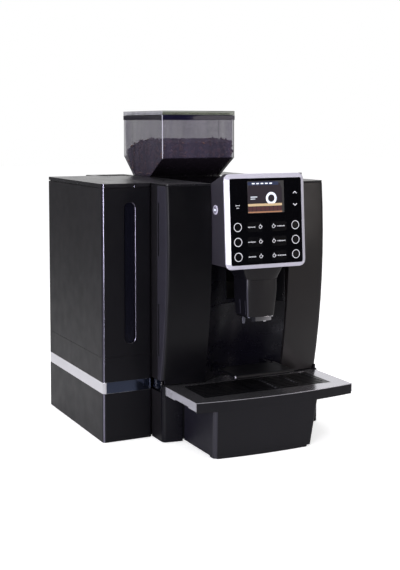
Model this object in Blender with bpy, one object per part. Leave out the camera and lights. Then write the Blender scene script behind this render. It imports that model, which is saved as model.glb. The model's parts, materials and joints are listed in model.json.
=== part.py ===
"""Bean to cup coffee machine, built as its separate pieces.

Metres, +Z up. X runs to the machine's right, Y to its back. The origin lies
on the table, under the middle of the machine's box.
"""
import math

import bmesh
import bpy
from mathutils import Matrix, Vector

# Whole machine
overall_width = 0.410
overall_depth = 0.511
body_height = 0.452
gap = 0.0003
wall = 0.003
overrun = 0.004

# Base plate and feet
foot_radius = 0.009
foot_inset = 0.022
base_lift = 0.003
base_thickness = 0.0032
skirt_bottom = 0.001

# Water tank, on the machine's left
tank_width = 0.0925
tank_set_back = 0.0201
tank_back_inset = 0.0405
tank_to_body = 0.0012
hose_clearance = 0.0012
tank_seam_height = 0.150
tank_wall = 0.0025
tank_front_wall = 0.0065
tank_corner = 0.006
lid_thickness = 0.006
lid_groove = 0.0018
lid_spigot = 0.008
lid_step = 0.0025
lid_swing_room = 0.004
notch_width = 0.022
notch_depth = 0.006
grip_length = 0.095
grip_side_inset = 0.0095
grip_depth = 0.0015
grip_back_inset = 0.027
window_width = 0.020
window_shift = 0.0045
window_rise = 0.022
window_drop = 0.033
window_recess = 0.0045
window_thickness = 0.0015
window_seat = 0.0025
valve_radius = 0.010
valve_flange = 0.0145
valve_clearance = 0.001
valve_flange_thickness = 0.003
valve_drop = 0.018
socket_radius = 0.015
socket_height = 0.020

# Bright band
band_bottom = 0.0871
band_top = 0.1069
band_thickness = 0.001

# Main body: the front wings bow in plan and in profile
tray_reach = 0.1294
foot_line = 0.1003
belly_line = 0.345
bow_radius = 0.92
profile_radius = 1.05
side_return = 0.0129
front_corner = 0.007
column_width = 0.154
wing_edge_depth = 0.012
lower_step = 0.0105
lower_return = 0.008
slot_width = 0.004
slot_set_back = 0.003
upper_slot_drop = 0.126
lower_slot_bottom = 0.150
slot_height = 0.092
cover_thickness = 0.003
rear_vent_rows = 7
rear_vent_pitch = 0.012
rear_vent_slot = 0.005
rear_vent_length = 0.120
rear_vent_drop = 0.152
door_bottom = 0.115
door_drop = 0.047
door_front_inset = 0.020
door_depth = 0.210
door_finger_width = 0.030
door_finger_height = 0.060
door_finger_depth = 0.0018
inlet_width = 0.048
inlet_height = 0.030
inlet_depth = 0.030
inlet_flange = 0.004
inlet_centre_height = 0.045
inlet_side_inset = 0.060

# Cup bay
bay_step_drop = 0.0765
bay_floor_depth = 0.0384
bay_top_depth = 0.0332
bay_side_set_back = 0.004
bay_step = 0.002
bay_panel = 0.0025
spout_slot_width = 0.0606
spout_slot_drop = 0.0695

# Display head
head_drop = 0.1395
head_plane_height = 0.1578
head_lean = 0.0095
head_stand = 0.0469
head_top_back = 0.0005
head_inner_depth = 0.075
frame_half_width = 0.0785
frame_side = 0.0080
frame_drop = 0.0045
frame_rail = 0.0072
frame_top_rail = 0.0080
frame_stand = 0.0080
frame_edge = 0.003
frame_bevel = 0.001
frame_corner = 0.011
glass_corner = 0.003
glass_thickness = 0.003
glass_set_back = 0.0012
screen_half_width = 0.0358
screen_bottom = 0.0902
screen_top = 0.1450
screen_body_depth = 0.006
screen_body_border = 0.003
button_side = 0.0565
button_pitch = 0.0252
button_first = 0.0172
ring_radius = 0.0084
ring_line = 0.0019
ring_proud = 0.0006
button_clearance = 0.0004
ring_plate = 0.0010
ring_plate_border = 0.0020
ring_plate_top = 0.0800
button_flange = 0.0011
button_flange_thickness = 0.0015
button_travel = 0.0010
power_radius = 0.0084
power_rise = 0.0952
power_from_wing = 0.0140
power_proud = 0.0012
power_depth = 0.010

# Spout
spout_half_width = 0.0300
spout_back_set = 0.0085
spout_depth = 0.0530
spout_nose = 0.0070
spout_drop = 0.0910
spout_rise = 0.0265
spout_waist_drop = 0.0240
spout_taper = 0.0034
spout_neck = 0.0024
spout_seam = 0.0005
spout_travel = 0.045
collar_flare = 0.0093
collar_flare_front = 0.0050
collar_proud = 0.0005
collar_clearance = 0.0005
collar_flare_drop = 0.0040
collar_front_dip = 0.0020
rail_half_width = 0.010
rail_drop = 0.0610
rail_depth = 0.006
lip_height = 0.0072
tip_plate = 0.0016
tip_inset = 0.0012
lip_thickness = 0.0012
lip_half_width = 0.0215
nozzle_radius = 0.0035
nozzle_drop = 0.0148
nozzle_side = 0.0210
nozzle_from_back = 0.0190
nozzle_tip_share = 0.75
water_nozzle_radius = 0.0022
water_nozzle_drop = 0.0100

# Drip tray and drawer
tray_top = 0.0989
tray_skirt_bottom = 0.0841
fascia_drop = 0.0030
tray_side_inset = 0.00545
tray_sheet = 0.0012
tray_behind_foot = 0.048
skirt_notch_length = 0.052
skirt_notch_depth = 0.002
skirt_notch_front = 0.030
opening_side_inset = 0.0284
opening_front_inset = 0.0365
opening_back_inset = 0.0519
tray_band = 0.003
pan_wall = 0.002
drawer_left_inset = 0.0368
drawer_right_inset = 0.0802
drawer_bottom = 0.0035
drawer_set_back = 0.0040
drawer_left_taper = 0.0010
drawer_right_taper = 0.0125
drawer_corner = 0.006
plinth_bottom = 0.0004
plinth_top = 0.0070
plinth_left_inset = 0.0015
plinth_right_inset = 0.0090
plinth_front_inset = 0.0008
plinth_depth = 0.018
box_bottom = 0.0078
box_behind_tray = 0.105
box_wall = 0.0022
drawer_clearance = 0.0012
grounds_side_inset = 0.0395
grounds_wall = 0.002
grounds_front_gap = 0.012
grounds_top = 0.0955
grid_sheet = 0.0024
grid_post = 0.004
grid_rows = 9
grid_row_pitch = 0.0092
grid_slot_width = 0.0042
grid_rib = 0.006
grid_columns = 5

# Cup shelf
shelf_half_width = 0.0565
shelf_depth = 0.0694
shelf_thickness = 0.0045
shelf_top = 0.1262
shelf_hinge_from_foot = 0.0100
shelf_rod_radius = 0.002
shelf_knuckle_radius = 0.0036
shelf_lug_width = 0.006
shelf_rod_overhang = 0.0012
shelf_lug_inset = 0.0085

# Bean hopper
hopper_front_share = 0.5181
hopper_depth_share = 0.5034
hopper_funnel_height = 0.0373
hopper_wall_height = 0.0822
hopper_front_inset_share = 0.3123
hopper_back_inset_share = 0.2551
hopper_wall = 0.0025
hopper_lid_height = 0.0085
hopper_lid_rim = 0.0035
hopper_lid_spigot = 0.008
hopper_rim_proud = 0.0008
hopper_rim_height = 0.0085
throat_radius = 0.021
throat_wall = 0.002
throat_clearance = 0.0008
bean_depth = 0.0695
bean_mound = 0.0065
bean_fall = 0.0180
seat_lip = 0.002
seat_rise = 0.0004

# Inner frame and what it carries
deck_height = 0.1068
sheet = 0.003
upright_share = 0.5925
works_drop = 0.117
works_back_inset = 0.0335
chute_width = 0.060
chute_depth = 0.030
grinder_radius = 0.046
grinder_height = 0.058
grinder_wall = 0.006
burr_radius = 0.032
burr_bore = 0.012
burr_height = 0.009
burr_gap = 0.0008
burr_shaft_radius = 0.004
motor_radius = 0.034
motor_height = 0.080
brew_width = 0.088
brew_depth = 0.080
brew_height = 0.148
brew_from_frame = 0.035
deck_from_bay = 0.022
brew_bore = 0.024
brew_piston_clearance = 0.0005
brew_piston_height = 0.030
brew_rod_radius = 0.006
brew_piston_rest = 0.0155
brew_floor = 0.030
brew_motor_radius = 0.020
brew_motor_length = 0.066
heater_width = 0.060
heater_depth = 0.038
heater_below_motor = 0.0393
heater_fins = 5
pump_radius = 0.021
pump_length = 0.100
pump_end_radius = 0.010
pump_end_length = 0.008
pump_from_frame = 0.041
board_length = 0.130
board_height = 0.100
board_thickness = 0.0016
board_stand = 0.008
board_post_radius = 0.003
board_from_return = 0.020
board_drop = 0.152
chip_shares = [(0.25, 0.50, 0.44, 0.12), (0.62, 0.30, 0.32, 0.20), (0.66, 0.74, 0.22, 0.09)]
hose_radius = 0.003
hose_bend = 0.018
hose_points = 26

# Counts for round and bowed shapes
round_steps = 24
small_steps = 16
corner_steps = 3
bow_steps = 6
profile_steps = 8

# Places that follow from the sizes
left_x = -overall_width / 2
right_x = overall_width / 2
front_y = -overall_depth / 2
back_y = overall_depth / 2
tank_x1 = left_x + tank_width
tank_x = (left_x + tank_x1) / 2
window_x = tank_x + window_shift
tank_y1 = back_y - tank_back_inset
body_x0 = tank_x1 + tank_to_body
body_x1 = right_x
body_x = (body_x0 + body_x1) / 2
column_x0 = body_x - column_width / 2
column_x1 = body_x + column_width / 2
foot_y = front_y + tray_reach
belly_y = foot_y - (belly_line - foot_line) ** 2 / (2 * profile_radius)
base_top = base_lift + base_thickness
floor_z = base_top + gap
cover_bottom = body_height - cover_thickness
panel_top = cover_bottom - gap
side_sill = band_top + gap
band_groove = band_thickness + gap
base_inset = band_groove + wall + 2 * gap
drawer_return = tray_reach - lower_step - drawer_set_back - drawer_clearance
body_depth = back_y - foot_y
frame_y = foot_y + body_depth * upright_share
deck_top = deck_height + sheet + gap
pump_y = frame_y + pump_from_frame
pump_z = floor_z + pump_radius
tray_back_y = foot_y + tray_behind_foot
tray_under = tray_top - tray_sheet
drawer_x0 = body_x0 + drawer_left_inset
drawer_x1 = body_x1 - drawer_right_inset
drawer_x = (drawer_x0 + drawer_x1) / 2
tray_half_width = (body_x1 - body_x0) / 2 - tray_side_inset
opening_half_width = tray_half_width - opening_side_inset
window_bottom = tank_seam_height + window_rise
window_top = body_height - window_drop
upper_slot_bottom = body_height - upper_slot_drop
rear_vent_bottom = body_height - rear_vent_drop
door_top = body_height - door_drop
board_bottom = body_height - board_drop
hopper_shoulder = body_height + hopper_funnel_height
hopper_top = hopper_shoulder + hopper_wall_height
hopper_lid_top = hopper_top + hopper_lid_height
bean_level = body_height + bean_depth
head_bottom = body_height - head_drop
power_height = head_bottom + power_rise
bay_step_height = head_bottom - bay_step_drop
spout_slot_bottom = head_bottom - spout_slot_drop
spout_bottom = head_bottom - spout_drop
spout_top = head_bottom + spout_rise
spout_waist = head_bottom - spout_waist_drop
collar_flare_top = head_bottom - collar_flare_drop
rail_bottom = head_bottom - rail_drop
shelf_height = body_height - works_drop
works_back_y = back_y - works_back_inset
heater_height = shelf_height - motor_height - heater_below_motor - deck_top
hopper_depth = body_depth * hopper_depth_share
hopper_y0 = back_y - body_depth * hopper_front_share
hopper_y1 = hopper_y0 + hopper_depth
seat_y0 = hopper_y0 + hopper_depth * hopper_front_inset_share
seat_y1 = hopper_y1 - hopper_depth * hopper_back_inset_share
throat_y = (seat_y0 + seat_y1) / 2
shelf_hinge_y = foot_y - shelf_hinge_from_foot
shelf_hinge_z = shelf_top - shelf_knuckle_radius
glass_face = frame_stand - glass_set_back
glass_back = glass_face - glass_thickness


def bow(x):
    """How far the bowed front falls back at a place across the body."""
    return (x - body_x) ** 2 / (2 * bow_radius)


def wing_y(x, z):
    """The Y of the wings' outer face."""
    return belly_y + bow(x) + (z - belly_line) ** 2 / (2 * profile_radius)


def lower_front_y(x):
    """The Y of the body's front below the tray."""
    return foot_y - lower_step + bow(x)


def tray_front_y(x, inset=0.0):
    """The tray's bowed front edge."""
    return front_y + bow(x) + inset


head_top_y = wing_y(column_x0, body_height) + head_top_back
spout_back_y = wing_y(column_x0, belly_line) + spout_back_set
spout_nose_y = spout_back_y - spout_depth
return_y = foot_y + bow(body_x0) + side_return
lower_return_y = lower_front_y(body_x0) + lower_return
tank_y0 = return_y + tank_set_back


def finish(name, colour, roughness, metallic=0.0):
    """A plain Principled material."""
    made = bpy.data.materials.new(name)
    made.use_nodes = True
    shader = made.node_tree.nodes["Principled BSDF"]
    shader.inputs["Base Color"].default_value = (*colour, 1.0)
    shader.inputs["Roughness"].default_value = roughness
    shader.inputs["Metallic"].default_value = metallic
    made.diffuse_color = (*colour, 1.0)
    return made


def spread(start, end, steps):
    """Evenly spaced values from start to end, both included."""
    return [start + (end - start) * i / steps for i in range(steps + 1)]


def arc(cx, cy, radius, start, end, steps):
    """Points on an arc, with its angles in degrees."""
    turns = [math.radians(turn) for turn in spread(start, end, steps)]
    return [(cx + radius * math.cos(turn), cy + radius * math.sin(turn)) for turn in turns]


def rounded_rectangle(x0, x1, y0, y1, radius, steps=corner_steps):
    """A rectangle with round corners, anticlockwise from its first corner."""
    points = arc(x0 + radius, y0 + radius, radius, 180, 270, steps)
    points += arc(x1 - radius, y0 + radius, radius, 270, 360, steps)
    points += arc(x1 - radius, y1 - radius, radius, 0, 90, steps)
    points += arc(x0 + radius, y1 - radius, radius, 90, 180, steps)
    return points


def stadium(width, low, high):
    """An upright slot with round ends, as (across, height) points."""
    radius = width / 2
    points = arc(0, low + radius, radius, 180, 360, corner_steps * 3)
    return points + arc(0, high - radius, radius, 0, 180, corner_steps * 3)


def inset_outline(points, distance):
    """Move each side of an anticlockwise outline inwards."""
    moved = []
    for i, point in enumerate(points):
        here = Vector(point)
        along = (here - Vector(points[i - 1])).normalized()
        onward = (Vector(points[(i + 1) % len(points)]) - here).normalized()
        inward = Vector((-along.y, along.x))
        middle = (inward + Vector((-onward.y, onward.x))).normalized()
        moved.append(tuple(here + middle * distance / middle.dot(inward)))
    return moved


def make_object(name, bm, material, origin=(0, 0, 0), smooth=False):
    """Link a bmesh drawn in world places as an object with the given origin."""
    bmesh.ops.recalc_face_normals(bm, faces=bm.faces)
    bmesh.ops.translate(bm, verts=bm.verts, vec=-Vector(origin))
    mesh = bpy.data.meshes.new(name)
    bm.to_mesh(mesh)
    bm.free()
    mesh.materials.append(material)
    if smooth:
        mesh.shade_smooth()
        mesh.set_sharp_from_angle(angle=math.radians(35))
    made = bpy.data.objects.new(name, mesh)
    made.location = origin
    bpy.context.scene.collection.objects.link(made)
    return made


def combine(target, bm, operation="DIFFERENCE"):
    """Cut a shape from an object, or join it on."""
    helper = make_object(target.name + ".helper", bm, target.data.materials[0])
    helper.hide_render = True
    helper.display_type = "WIRE"
    modifier = target.modifiers.new("Boolean", "BOOLEAN")
    modifier.operation = operation
    modifier.object = helper
    modifier.solver = "EXACT"


def loft(rings, closed=False, into=None):
    """Skin rings of equal length. Open ends get a flat cap."""
    bm = into or bmesh.new()
    rows = [[bm.verts.new(point) for point in ring] for ring in rings]
    count = len(rows[0])
    pairs = list(zip(rows, rows[1:]))
    if closed:
        pairs.append((rows[-1], rows[0]))
    for lower, upper in pairs:
        for i in range(count):
            j = (i + 1) % count
            bm.faces.new((lower[i], lower[j], upper[j], upper[i]))
    if not closed:
        bm.faces.new(rows[0])
        bm.faces.new(rows[-1])
    return bm


def plate(outline, z0, z1, into=None):
    """A plan outline given a thickness in Z."""
    return loft([[(x, y, z) for x, y in outline] for z in (z0, z1)], into=into)


def box(x0, x1, y0, y1, z0, z1, into=None):
    """A box between two corners."""
    return plate([(x0, y0), (x1, y0), (x1, y1), (x0, y1)], z0, z1, into)


def profile(outline, x0, x1):
    """A side outline, in Y and Z, carried along X."""
    return loft([[(x, y, z) for y, z in outline] for x in (x0, x1)])


def front_plate(outline, y0, y1):
    """A front outline, in X and Z, carried along Y."""
    return loft([[(x, y, z) for x, z in outline] for y in (y0, y1)])


def turned(points, place, steps=round_steps, bored=False, into=None):
    """Turn (radius, height) points about an axis, which place sets."""
    turns = [2 * math.pi * i / steps for i in range(steps)]
    rings = [[place @ Vector((radius * math.cos(turn), radius * math.sin(turn), height)) for turn in turns]
             for radius, height in points]
    return loft(rings, bored, into)


def cylinder(radius, low, high, place, steps=round_steps, into=None):
    """A plain round bar or bore."""
    return turned([(radius, low), (radius, high)], place, steps, into=into)


def upright(x, y, z=0):
    """A turning axis along +Z."""
    return Matrix.Translation((x, y, z))


def along_x(x, y, z):
    """A turning axis along +X."""
    return Matrix.Translation((x, y, z)) @ Matrix.Rotation(math.pi / 2, 4, "Y")


def along_y(x, y, z):
    """A turning axis along +Y."""
    return Matrix.Translation((x, y, z)) @ Matrix.Rotation(-math.pi / 2, 4, "X")


def mirrored(points):
    """A plan outline mirrored about the body's middle."""
    return [(2 * body_x - x, y) for x, y in points]


def over_plate(x0, x1):
    """The cut that lets an upright wall stand over the base plate."""
    room = base_inset - gap
    return box(x0, x1, tank_y0 + room, tank_y1 - room, skirt_bottom - overrun, floor_z)


def build_base(kit):
    """The base plate with its moulded feet, and the base that the water tank stands on."""
    left = left_x + base_inset
    body_left = body_x0 + base_inset
    body_right = body_x1 - base_inset
    outline = [(left, tank_y0 + base_inset), (body_left, tank_y0 + base_inset)]
    corner0, corner1 = body_left + front_corner, body_right - front_corner
    outline += [(body_left, lower_front_y(body_left) + base_inset + front_corner)]
    outline += [(x, lower_front_y(x) + base_inset) for x in spread(corner0, corner1, bow_steps)]
    outline += [(body_right, lower_front_y(body_right) + base_inset + front_corner)]
    outline += [(body_right, back_y - base_inset), (body_left, back_y - base_inset),
                (body_left, tank_y1 - base_inset), (left, tank_y1 - base_inset)]
    base_plate = make_object("base_plate", plate(outline, base_lift, base_top), kit["shadow"])
    feet = [(left_x + foot_inset, tank_y0 + foot_inset), (left_x + foot_inset, tank_y1 - foot_inset),
            (body_x0 + foot_inset, foot_y + foot_inset), (body_x1 - foot_inset, foot_y + foot_inset),
            (body_x0 + foot_inset, back_y - foot_inset), (body_x1 - foot_inset, back_y - foot_inset)]
    for x, y in feet:
        combine(base_plate, cylinder(foot_radius, 0, base_lift + base_thickness / 2, upright(x, y),
                                     small_steps),
                "UNION")

    def outline_in(inset):
        return rounded_rectangle(left_x + inset, tank_x1 - inset, tank_y0 + inset, tank_y1 - inset,
                                 tank_corner - inset)

    deck = tank_seam_height - gap
    levels = [(skirt_bottom, 0), (band_bottom - gap, 0), (band_bottom - gap, band_groove),
              (band_top + gap, band_groove),
              (band_top + gap, 0), (deck, 0)]
    rings = [[(x, y, z) for x, y in outline_in(inset)] for z, inset in levels]
    base = make_object("tank_base", loft(rings), kit["satin"])
    hollow = band_groove + wall
    combine(base, box(left_x + hollow, tank_x1 - hollow, tank_y0 + hollow, tank_y1 - hollow,
                      skirt_bottom - overrun,
                      deck - wall))
    combine(base, over_plate(tank_x1 - hollow - overrun, tank_x1 + overrun))
    port = valve_radius + valve_clearance
    combine(base, cylinder(port, deck - wall - overrun, deck + overrun, upright(tank_x, pump_y)))
    combine(base, cylinder(hose_radius + hose_clearance, -overrun, hollow + overrun,
                           along_x(tank_x1 - hollow, pump_y, pump_z), small_steps))

    top = deck - wall - gap
    floor = top - socket_height
    points = [(port, top), (port, floor + wall), (hose_radius, floor + wall), (hose_radius, floor),
              (socket_radius, floor), (socket_radius, top)]
    make_object("dock_socket", turned(points, upright(tank_x, pump_y), bored=True), kit["grey"], smooth=True)

    levels = ((0, band_bottom), (0, band_top), (band_thickness, band_top), (band_thickness, band_bottom))
    rings = [[(x, y, z) for x, y in outline_in(inset)] for inset, z in levels]
    band = make_object("trim_band", loft(rings, closed=True), kit["chrome"], smooth=True)
    start = lower_return_y + gap
    thick = band_thickness
    strip = [(body_x0, start), (body_x0 + thick, start), (body_x0 + thick, back_y - thick),
             (body_x1 - thick, back_y - thick), (body_x1 - thick, start), (body_x1, start), (body_x1, back_y),
             (body_x0, back_y)]
    combine(band, plate(strip, band_bottom, band_top), "UNION")
    bridge_y = tank_y1 - tank_corner - thick
    combine(band, box(tank_x1 - thick / 2, body_x0 + thick / 2, bridge_y, bridge_y + thick, band_bottom,
                      band_top),
            "UNION")


def build_tank(kit):
    """The lift-off water tank, its lid, level window and valve."""
    bottom = tank_seam_height
    lid_bottom = body_height - lid_thickness
    rim = lid_bottom - lid_groove
    outer = rounded_rectangle(left_x, tank_x1, tank_y0, tank_y1, tank_corner)
    tank = make_object("tank_body", plate(outer, bottom, rim), kit["satin"],
                       origin=(tank_x, (tank_y0 + tank_y1) / 2, bottom))
    inner = rounded_rectangle(left_x + tank_wall, tank_x1 - tank_wall, tank_y0 + tank_front_wall,
                              tank_y1 - tank_wall, tank_corner - tank_wall)
    combine(tank, plate(inner, bottom + tank_wall, rim + overrun))
    seat_y = tank_y0 + window_recess + window_thickness
    recess = [(window_x + x, z) for x, z in stadium(window_width, window_bottom, window_top)]
    combine(tank, front_plate(recess, tank_y0 - overrun, seat_y))
    through = [(window_x + x, z) for x, z in stadium(window_width - 2 * window_seat,
                                                     window_bottom + window_seat,
                                                     window_top - window_seat)]
    combine(tank, front_plate(through, seat_y - window_thickness, tank_y0 + tank_front_wall + overrun))
    combine(tank, cylinder(valve_radius + gap, bottom - overrun, bottom + tank_wall + overrun,
                           upright(tank_x, pump_y)))
    pane = [(window_x + x, z) for x, z in stadium(window_width - 2 * gap, window_bottom + gap,
                                                  window_top - gap)]
    make_object("tank_window", front_plate(pane, seat_y - window_thickness, seat_y - gap), kit["smoke"])

    flange = bottom + tank_wall + gap
    points = [(valve_radius / 2, bottom - valve_drop), (valve_radius, bottom - valve_drop / 2),
              (valve_radius, flange), (valve_flange, flange), (valve_flange, flange + valve_flange_thickness),
              (valve_radius, flange + valve_flange_thickness)]
    make_object("tank_valve", turned(points, upright(tank_x, pump_y)), kit["grey"], smooth=True)

    side = tank_wall + 2 * gap
    front = tank_front_wall + 2 * gap
    back = side + lid_swing_room
    levels = [(rim - lid_spigot, side, front, back), (rim + gap, side, front, back),
              (rim + gap, lid_step, lid_step, lid_step), (lid_bottom, lid_step, lid_step, lid_step),
              (lid_bottom, 0, 0, 0), (body_height, 0, 0, 0)]
    rings = []
    for z, side, front, back in levels:
        ring = rounded_rectangle(left_x + side, tank_x1 - side, tank_y0 + front, tank_y1 - back,
                                 tank_corner - side / 2)
        rings.append([(x, y, z) for x, y in ring])
    lid = make_object("tank_lid", loft(rings), kit["satin"], origin=(tank_x, tank_y1, lid_bottom))
    notch = rounded_rectangle(window_x - notch_width / 2, window_x + notch_width / 2, tank_y0 - notch_depth,
                              tank_y0 + notch_depth / 2, notch_depth / 4)
    combine(lid, plate(notch, lid_bottom - lid_groove / 2, lid_bottom + lid_thickness / 2))


def wing_outline(z):
    """The left wing's plan at a height."""
    corner_x = body_x0 + front_corner
    corner_y = wing_y(corner_x, z) + front_corner
    inner = column_x0 - gap
    points = [(body_x0, return_y - gap)]
    points += arc(corner_x, corner_y, front_corner, 180, 270, corner_steps)
    points += [(x, wing_y(x, z)) for x in spread(corner_x, inner, bow_steps)[1:]]
    edge_y = wing_y(inner, z) + wing_edge_depth
    points += [(inner, edge_y), (inner - wall, edge_y)]
    points += [(x, wing_y(x, z) + wall) for x in spread(inner - wall, corner_x, bow_steps)]
    points += [(body_x0 + wall, corner_y), (body_x0 + wall, return_y - gap)]
    return points


def build_wings(kit):
    """The two bowed front wings, with their side returns."""
    notch_top = side_sill + gap
    slot_y1 = return_y - slot_set_back
    x0, x1 = body_x0 - overrun, body_x0 + wall + overrun
    cuts = [(lower_return_y - gap, return_y + overrun, foot_line - overrun, notch_top)]
    for low in (lower_slot_bottom, upper_slot_bottom):
        cuts.append((slot_y1 - slot_width, slot_y1, low, low + slot_height))
    for name, turn in (("left_wing", list), ("right_wing", mirrored)):
        rings = []
        for z in spread(foot_line, panel_top, profile_steps):
            rings.append([(x, y, z) for x, y in turn(wing_outline(z))])
        wing = make_object(name, loft(rings), kit["satin"], smooth=True)
        for y0, y1, z0, z1 in cuts:
            corners = turn([(x0, y0), (x1, y0), (x1, y1), (x0, y1)])
            combine(wing, plate(corners, z0, z1))


def build_sides(kit):
    """Side panels, service door and rear panel."""
    start = lower_return_y + gap
    outline = [(start, skirt_bottom), (start, side_sill), (return_y, side_sill), (return_y, panel_top),
               (back_y, panel_top), (back_y, skirt_bottom)]
    groove_z = (band_bottom - gap, band_top + 2 * gap)
    rear_groove = (body_x0 - overrun, body_x1 + overrun, back_y - band_groove, back_y + overrun, *groove_z)
    panels = []
    for name, face, inward in (("left_side_panel", body_x0, 1), ("right_side_panel", body_x1, -1)):
        x0, x1 = sorted((face, face + inward * wall))
        panel = make_object(name, profile(outline, x0, x1), kit["satin"])
        x0, x1 = sorted((face - inward * overrun, face + inward * band_groove))
        combine(panel, box(x0, x1, start - overrun, back_y + overrun, *groove_z))
        combine(panel, box(*rear_groove))
        panels.append(panel)
    left_panel, right_panel = panels
    combine(left_panel, over_plate(body_x0 - overrun, body_x0 + wall + overrun))
    combine(left_panel, cylinder(hose_radius + hose_clearance, -overrun, wall + overrun,
                                 along_x(body_x0, pump_y, pump_z), small_steps))

    door_y0 = return_y + door_front_inset
    door_y1 = door_y0 + door_depth
    combine(right_panel, box(body_x1 - wall - overrun, body_x1 + overrun, door_y0, door_y1, door_bottom,
                             door_top))
    door = make_object("service_door", box(body_x1 - wall, body_x1, door_y0 + gap, door_y1 - gap,
                                           door_bottom + gap,
                       door_top - gap), kit["satin"], origin=(body_x1, door_y1 - gap, door_bottom))
    middle = (door_bottom + door_top) / 2
    combine(door, box(body_x1 - door_finger_depth, body_x1 + overrun, door_y0 - overrun,
                      door_y0 + door_finger_width, middle - door_finger_height / 2,
                      middle + door_finger_height / 2))

    inside = body_x0 + wall + gap
    rear = make_object("rear_panel", box(inside, 2 * body_x - inside, back_y - wall, back_y, skirt_bottom,
                                         panel_top),
                       kit["satin"])
    combine(rear, box(*rear_groove))
    half = rear_vent_length / 2
    vents = bmesh.new()
    for i in range(rear_vent_rows):
        low = rear_vent_bottom + i * rear_vent_pitch
        box(body_x - half, body_x + half, back_y - wall - overrun, back_y + overrun, low,
            low + rear_vent_slot,
            vents)
    inlet_x = body_x1 - inlet_side_inset
    half = inlet_width / 2
    low = inlet_centre_height - inlet_height / 2
    high = inlet_centre_height + inlet_height / 2
    box(inlet_x - half - gap, inlet_x + half + gap, back_y - wall - overrun, back_y + overrun, low - gap,
        high + gap, vents)
    combine(rear, vents)
    inlet = make_object("mains_inlet", box(inlet_x - half, inlet_x + half, back_y - wall - inlet_depth,
                                           back_y, low,
                        high), kit["grey"])
    rim = inlet_flange
    combine(inlet, box(inlet_x - half - rim, inlet_x + half + rim, back_y - 2 * wall, back_y - wall - gap,
                       low - rim, high + rim), "UNION")
    combine(inlet, box(inlet_x - half + wall, inlet_x + half - wall, back_y - inlet_depth + wall,
                       back_y + overrun,
                       low + wall, high - wall))


def build_lower_front(kit):
    """The body's front below the tray, in two pieces beside the drawer."""
    edges = [("lower_front_left", body_x0, drawer_x0 - drawer_clearance, 1),
             ("lower_front_right", body_x1, drawer_x1 + drawer_clearance, -1)]
    beside_tray = tray_half_width + drawer_clearance / 2
    for name, outer, inner, inward in edges:
        corner_x = outer + inward * front_corner
        corner_y = lower_front_y(corner_x) + front_corner
        points = [(outer, lower_return_y)]
        turn = (180, 270) if inward > 0 else (360, 270)
        points += arc(corner_x, corner_y, front_corner, *turn, corner_steps)
        points += [(x, lower_front_y(x)) for x in spread(corner_x, inner, 2)[1:]]
        points += [(x, lower_front_y(x) + wall) for x in spread(inner, corner_x, 2)]
        points += [(outer + inward * wall, corner_y), (outer + inward * wall, lower_return_y)]
        panel = make_object(name, plate(points, skirt_bottom, foot_line - gap), kit["satin"], smooth=True)
        combine(panel, box(body_x - beside_tray, body_x + beside_tray, lower_front_y(body_x) - overrun,
                           lower_return_y + overrun, tray_skirt_bottom - 2 * gap, foot_line + overrun))


def build_covers(kit):
    """The top cover round the glossy centre cover that carries the hopper."""
    corner_x = body_x0 + front_corner
    z = body_height
    edge = arc(corner_x, wing_y(corner_x, z) + front_corner, front_corner, 180, 270, corner_steps)
    edge += [(x, wing_y(x, z)) for x in spread(corner_x, column_x0 - gap, bow_steps // 2)[1:]]
    back_strip = (back_y + hopper_y1) / 2
    outline = edge + [(column_x0 - gap, back_strip), (column_x1 + gap, back_strip)]
    outline += mirrored(reversed(edge)) + [(body_x1, back_y), (body_x0, back_y)]
    top = make_object("top_cover", plate(outline, cover_bottom, body_height), kit["satin"])
    grip_y1 = back_y - grip_back_inset
    grip = rounded_rectangle(body_x0 + grip_side_inset, column_x0 - grip_side_inset, grip_y1 - grip_length,
                             grip_y1, tank_corner)
    combine(top, plate(grip, body_height - grip_depth, body_height + overrun))

    middle = box(column_x0, column_x1, head_top_y + gap, back_strip - gap, cover_bottom, body_height)
    cover = make_object("centre_cover", middle, kit["gloss"])
    for y0, y1 in ((seat_y0 - gap - seat_lip, seat_y0 - gap), (seat_y1 + gap, seat_y1 + gap + seat_lip)):
        combine(cover, box(column_x0 + wall, column_x1 - wall, y0, y1, body_height - wall / 2,
                           body_height + seat_rise), "UNION")
    combine(cover, cylinder(throat_radius + throat_clearance, cover_bottom - overrun, body_height + overrun,
                            upright(body_x, throat_y)))


def head_place():
    """The head's front plane: origin at its lower middle, Z pointing out of it."""
    lean = math.atan2(head_lean, head_plane_height)
    low_y = wing_y(column_x0, belly_line) - head_stand - head_lean / 2
    return Matrix.Translation((body_x, low_y, head_bottom)) @ Matrix.Rotation(math.pi / 2 - lean, 4, "X")


def on_head(points, stand):
    """Carry (across, up) points to the head's plane at a distance out of it."""
    place = head_place()
    return [place @ Vector((x, y, stand)) for x, y in points]


def head_plate(x0, x1, y0, y1, radius, back, front):
    """A rounded plate that lies parallel to the head's plane."""
    outline = rounded_rectangle(x0, x1, y0, y1, radius)
    return loft([on_head(outline, back), on_head(outline, front)])


def bay_y(x, z):
    """The Y of the cup bay's concave face."""
    low = min(z, bay_step_height)
    side = wing_y(column_x0, low) + bay_side_set_back
    low_middle = wing_y(column_x0, foot_line) + bay_floor_depth
    top_middle = wing_y(column_x0, bay_step_height) + bay_top_depth
    middle = low_middle + (top_middle - low_middle) * (low - foot_line) / (bay_step_height - foot_line)
    share = ((x - body_x) / (column_width / 2)) ** 2
    step = bay_step if z > bay_step_height else 0
    return middle + (side - middle) * share + step


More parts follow.
